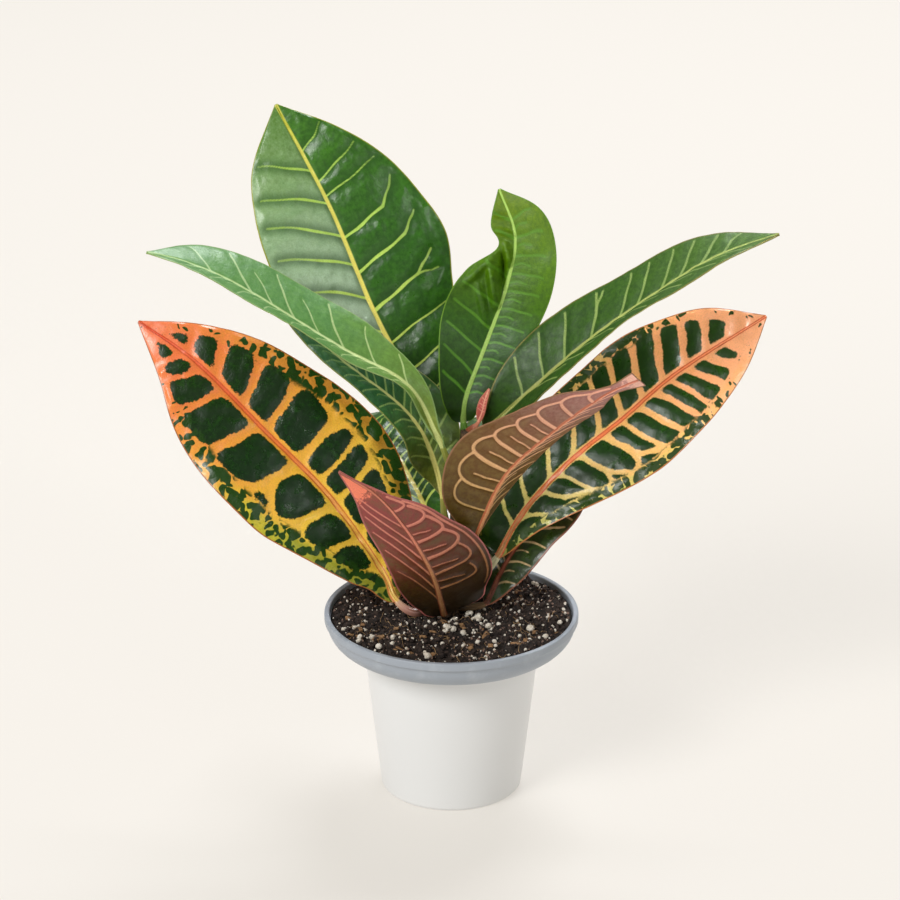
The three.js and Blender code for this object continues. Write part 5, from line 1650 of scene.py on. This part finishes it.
@dataclass
class Soil:
    """A peat potting mix with perlite, bark and coir, filled to under the grow pot's lip, in mm."""

    pot: GrowPot
    stem: Stem
    top: float = 94.4
    crown: float = 1.2
    gap: float = 0.3
    relief: float = 1.5
    cell: float = 0.95
    seed: int = 7
    chips: int = 46
    fibres: int = 120
    # Grains of perlite that lie at known places: x, y and radius
    known: tuple[tuple[float, float, float], ...] = (
        (9.6, -5.5, 1.5), (13.4, -9, 2.1), (18.9, -19.7, 1.9), (-2.2, -22.3, 1.7), (-29.4, -33, 1.8),
        (24, -14, 1.3), (40, -22, 1.7), (-44, -10, 1.4), (6, -30, 1.5),
    )
    # A large chip of bark: where it lies and its three half-sizes
    large_chip: tuple[tuple[float, float], tuple[float, float, float]] = ((-37.0, -32.0), (3.3, 2.8, 0.9))

    @property
    def edge(self) -> float:
        """The soil's radius at its top."""
        return self.pot.rim_radius - self.pot.lip_proud - self.pot.wall - 2 * self.gap

    def height(self, x: Grid, y: Grid) -> Grid:
        """Give the height of the crumbly surface."""
        r = np.hypot(x, y)
        place = np.stack([x, y, 0 * x], -1)
        # Clods of about 9 mm and crumbs of about 3.6 mm, which lie lower along the pot
        lumps = rough(place, 9, 5, 2) * 0.5 + np.abs(rough(place, 3.6, 6, 3)) * 1.1 - 0.45
        calm = ease(self.edge, self.edge - 2.5, r)
        domed = self.top + self.crown * (1 - (r / self.edge) ** 2)
        return domed + self.relief * lumps * calm - 0.5 * (1 - calm)

    def build(self) -> list[Piece]:
        """Make the bed and everything that lies on it."""
        random = np.random.default_rng(self.seed)
        crumbs = (Draw(1750, (0.4, 1.1), 0, 0.35, 0.3), Draw(400, (0.9, 1.6), 1, 0.35, 0.3))
        humus = (Draw(900, (0.3, 0.85), 0, 0.4, 0.6, 1.8),)
        perlite = (
            Draw(400, (0.35, 0.8), 0, 0.24, 0.45), Draw(230, (0.7, 1.3), 1, 0.24, 0.45, 2.0),
            Draw(26, (1.3, 2.0), 2, 0.25, 0.5),
        )
        known = Draw(len(self.known), (0, 0), 2, 0.25, 0.6, 1.0)
        return [
            self.bed(),
            self.scattered("soil_crumbs", Grits.CRUMB, [self.grains(random, draw) for draw in crumbs]),
            self.scattered("soil_humus", Grits.HUMUS, [self.grains(random, draw) for draw in humus]),
            self.scattered(
                "soil_perlite", Grits.PERLITE,
                [self.grains(random, draw) for draw in perlite] + [self.grains(random, known, self.known)],
            ),
            self.scattered("soil_bark", Grits.BARK, [self.splinters(random)]),
            self.scattered("soil_fibres", Grits.FIBRE, self.strands(random)),
        ]

    def bed(self) -> Piece:
        """Mesh the soil's body: the crumbly top, the wall along the pot and the floor."""
        hole = self.stem.foot_radius + self.gap
        foot = self.stem.route[0][2] - self.gap
        radii = np.linspace(hole, self.edge, int((self.edge - hole) / self.cell))
        sides = int(2 * math.pi * 0.62 * self.edge / self.cell)
        inner = np.array([(0, foot), (hole, foot), (hole, self.top - 2)])
        side = arc_corners(self.pot.side(self.pot.wall + self.gap))[::-1]
        outer = np.concatenate([side, [(0, side[-1][1])]])
        top = np.stack([radii, self.top + 0 * radii], -1)
        skin = turned(np.concatenate([inner, top, outer])[::-1], sides)
        r = np.hypot(skin.points[:, 0], skin.points[:, 1])
        on_top = (skin.points[:, 2] == self.top) & (r > hole - 0.01)
        skin.points[on_top, 2] = self.height(skin.points[on_top, 0], skin.points[on_top, 1])
        skin.materials = (Grits.PEAT.value.build(),)
        return skin.piece("soil_bed", "soil", "soil")

    def spots(self, random: np.random.Generator, count: int, keep: float) -> tuple[Grid, Grid]:
        """Draw places on the surface between the stem and the pot."""
        inner = self.stem.foot_radius + 1.5
        r = np.sqrt(random.uniform(inner**2, (self.edge - keep) ** 2, count))
        angle = random.uniform(0, 2 * math.pi, count)
        return r * np.cos(angle), r * np.sin(angle)

    def grains(self, random: np.random.Generator, draw: Draw, known: Sequence = ()) -> tuple[Grid, Grid]:
        """Scatter grains over the bed.

        Args:
            random: The seeded random draw.
            draw: What to draw.
            known: Places and radii to use in place of drawn ones.

        Returns:
            The grains' points and faces.
        """
        ball, faces = pebble(draw.level)
        least, most = draw.size
        x, y = self.spots(random, draw.count, most + 0.4)
        radius = least + (most - least) * random.uniform(0, 1, draw.count) ** draw.favour
        if known:
            x, y, radius = np.array(known).T
        shape = 1 + draw.lumpy * random.uniform(-1, 1, (draw.count, len(ball)))
        stretch = random.uniform(0.7, 1.15, (draw.count, 1, 3))
        grains = ball[None] * shape[..., None] * stretch * radius[:, None, None]
        grains = np.einsum("nij,npj->npi", spins(random, draw.count), grains)
        return self.laid(grains, faces, x, y, draw.proud * radius)

    def laid(self, grains: Grid, faces: Grid, x: Grid, y: Grid, proud: Grid | float) -> tuple[Grid, Grid]:
        """Lay loose grains on the bed at their places, and list their points and faces."""
        middle = np.stack([x, y, self.height(x, y) + proud], -1)
        count, size = grains.shape[:2]
        every = (faces[None] + (np.arange(count) * size)[:, None, None]).reshape(-1, 3)
        return (grains + middle[:, None]).reshape(-1, 3), every

    def scattered(self, name: str, grit: Grits, draws: list[tuple[Grid, Grid]]) -> Piece:
        """Join every draw of one kind of grain into one piece."""
        first = np.cumsum([0] + [len(points) for points, _ in draws])
        points = np.concatenate([points for points, _ in draws])
        faces = np.concatenate([faces + start for (_, faces), start in zip(draws, first)])
        return Skin(points, [faces], (grit.value.build(),)).piece(name, "soil")

    def splinters(self, random: np.random.Generator) -> tuple[Grid, Grid]:
        """Scatter flat splinters of bark."""
        ball, faces = pebble(1)
        square = np.sign(ball) * np.abs(ball) ** 0.45
        x, y = self.spots(random, self.chips, 3)
        limits = ((1.3, 3.2), (0.8, 2.0), (0.3, 0.6))
        size = np.stack([random.uniform(least, most, self.chips) for least, most in limits], -1)
        (x[0], y[0]), size[0] = self.large_chip
        shape = 1 + 0.14 * random.uniform(-1, 1, (self.chips, len(ball), 1))
        chips = square[None] * size[:, None] * shape
        tilt = spins(random, self.chips)
        lean = unit(np.array([0, 0, 1.0]) + 0.35 * random.normal(size=(self.chips, 3)))
        first = unit(np.cross(lean, tilt[:, 0]))
        frame = np.stack([first, np.cross(lean, first), lean], -1)
        return self.laid(np.einsum("nij,npj->npi", frame, chips), faces, x, y, 0.4)

    def strands(self, random: np.random.Generator) -> list[tuple[Grid, Grid]]:
        """Lay curled coir fibres over the bed."""
        steps, sides, count = 14, 5, self.fibres
        x, y = self.spots(random, count, 6)
        turn = random.uniform(0, 2 * math.pi, count)
        curl = random.uniform(-0.16, 0.16, count)
        length = random.uniform(5, 15, count)
        thick = random.uniform(0.1, 0.2, count)
        angle = np.linspace(0, 2 * math.pi, sides, endpoint=False)[:, None]
        strands = []
        for j in range(count):
            step = length[j] / steps
            heading = turn[j] + curl[j] * np.arange(steps)
            px = x[j] + np.cumsum(np.cos(heading)) * step
            py = y[j] + np.cumsum(np.sin(heading)) * step
            pull = np.minimum(1, (self.edge - 1.2) / np.maximum(np.hypot(px, py), 1e-6))
            px, py = px * pull, py * pull
            arch = 0.8 * np.sin(np.linspace(0, math.pi, steps)) * random.uniform(0.2, 1.6)
            path = np.stack([px, py, self.height(px, py) + 0.25 + arch], -1)
            along = unit(np.gradient(path, axis=0))
            aside = unit(np.cross(along, [0, 0, 1.0]))
            up = np.cross(aside, along)
            out = aside[:, None] * np.cos(angle) + up[:, None] * np.sin(angle)
            ring = path[:, None] + thick[j] * np.linspace(1, 0.6, steps)[:, None, None] * out
            strands.append((ring.reshape(-1, 3), tube(steps, sides)))
        return strands


@dataclass
class Lamp:
    """One soft light of the studio, in metres and watts."""

    name: str
    place: tuple[float, float, float]
    target: tuple[float, float, float]
    size: tuple[float, float]
    power: float
    colour: str = "#ffffff"
    spread: float = 180.0  # how wide its grid or snoot lets it shine, in degrees

    def build(self) -> None:
        """Hang the light and point it at its target."""
        light = bpy.data.lights.new(self.name, "AREA")
        light.shape, light.size, light.size_y = "RECTANGLE", *self.size
        light.energy = self.power
        light.spread = math.radians(self.spread)
        light.color = linear(self.colour)[:3]
        lamp = bpy.data.objects.new(self.name, light)
        bpy.context.scene.collection.objects.link(lamp)
        lamp.location = self.place
        way = Vector(self.target) - Vector(self.place)
        lamp.rotation_euler = way.to_track_quat("-Z", "Y").to_euler()


@dataclass
class Studio:
    """A plain cream floor, soft light from the upper left, and the camera at the photograph's angle."""

    cream: str = "#f7f3eb"
    paper: str = "#9f9b96"
    floor_size: float = 30.0
    floor_glow: float = 0.52  # the part of the floor's brightness that no shadow takes
    sky_strength: float = 0.4
    sky_gloss: float = 0.12
    lens: float = 159.0
    sensor: float = 36.0
    distance: float = 2.0
    elevation: float = 22.25
    target: tuple[float, float, float] = (-0.0007, 0.0, 0.1855)

    def floor(self) -> None:
        """Lay the floor: matt paper lit through from below, so that it stays even and shadows stay soft."""
        half = self.floor_size / 2 / MM
        corners = np.array([(-half, -half, 0), (half, -half, 0), (half, half, 0), (-half, half, 0)])
        mesh = Skin(corners, [np.array([(0, 1, 2, 3)])]).mesh("floor")
        floor = bpy.data.objects.new("floor", mesh)
        bpy.context.scene.collection.objects.link(floor)
        finish = Finish("matt_backlit_paper", 1.0, 1.45)
        finish.put({
            "Base Color": self.paper, "Specular IOR Level": 0.0,
            "Emission Color": self.cream, "Emission Strength": self.floor_glow,
        })
        mesh.materials.append(finish.material)

    def sky(self) -> None:
        """Surround the set with an even white tent that leaves the gloss to the lamps."""
        world = bpy.data.worlds.new("studio")
        tent = Wiring(world, "Background")
        glossy, seen = (tent.add(Node.RAYS, out=title) for title in ("Is Glossy Ray", "Is Camera Ray"))
        strength = tent.add(Node.SPAN, glossy, 0, 1, self.sky_strength, self.sky_gloss)
        tent.put({"Color": self.cream, "Strength": tent.add(Node.SPAN, seen, 0, 1, strength, 1.0)})
        bpy.context.scene.world = world

    def lamps(self) -> None:
        """Hang a softbox at the upper left, a weak card, a snoot on the right tip and a rim light."""
        middle, tip = (0.0, 0.0, 0.17), (0.135, 0.035, 0.232)
        for lamp in (
            Lamp("key_softbox", (-2.45, -2.8, 2.95), middle, (1.9, 1.9), 150.0),
            Lamp("fill_card", (2.2, -2.6, 1.4), middle, (1.2, 1.6), 7.0),
            Lamp("tip_snoot", (0.6, -0.65, 0.8), tip, (0.12, 0.12), 0.055, spread=20.0),
            Lamp("rim_softbox", (0.5, 1.6, 2.6), middle, (1.3, 1.1), 68.0, "#f6f9ff"),
        ):
            lamp.build()

    def camera(self) -> None:
        """Set up the camera, level with the horizon and aimed at the middle of the plant."""
        camera = bpy.data.objects.new("camera", bpy.data.cameras.new("camera"))
        bpy.context.scene.collection.objects.link(camera)
        camera.data.lens, camera.data.sensor_width = self.lens, self.sensor
        tilt = math.radians(self.elevation)
        back_off = Vector((0, -math.cos(tilt), math.sin(tilt)))
        camera.location = Vector(self.target) + back_off * self.distance
        camera.rotation_euler = (-back_off).to_track_quat("-Z", "Y").to_euler()
        camera.data.clip_start, camera.data.clip_end = 0.05, 60
        bpy.context.scene.camera = camera

    def build(self) -> None:
        """Set up the floor, the light and the camera."""
        self.floor()
        self.sky()
        self.lamps()
        self.camera()
        bpy.context.scene.view_settings.view_transform = "Standard"


def corners(box: Iterable[Vector]) -> list[list[float]]:
    """Give a box's corners as plain numbers."""
    return [[float(c) for c in corner] for corner in box]


def main() -> None:
    """Build the studio and every piece of the plant."""
    logging.basicConfig(level=logging.INFO, format="%(name)s %(message)s")
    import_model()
    Studio().build()
    Cachepot().build()
    pot, stem = GrowPot(), Stem()
    pot.build()
    stem.build()
    Soil(pot, stem).build()
    faces: dict[LeafFaces, Material] = {}
    for leaf, upper, under in leaves():
        for face in (upper, under):
            if face not in faces:
                faces[face] = face.value.build()
        leaf.build(stem, faces[upper], faces[under])
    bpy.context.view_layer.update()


if __name__ == "__main__":
    main()
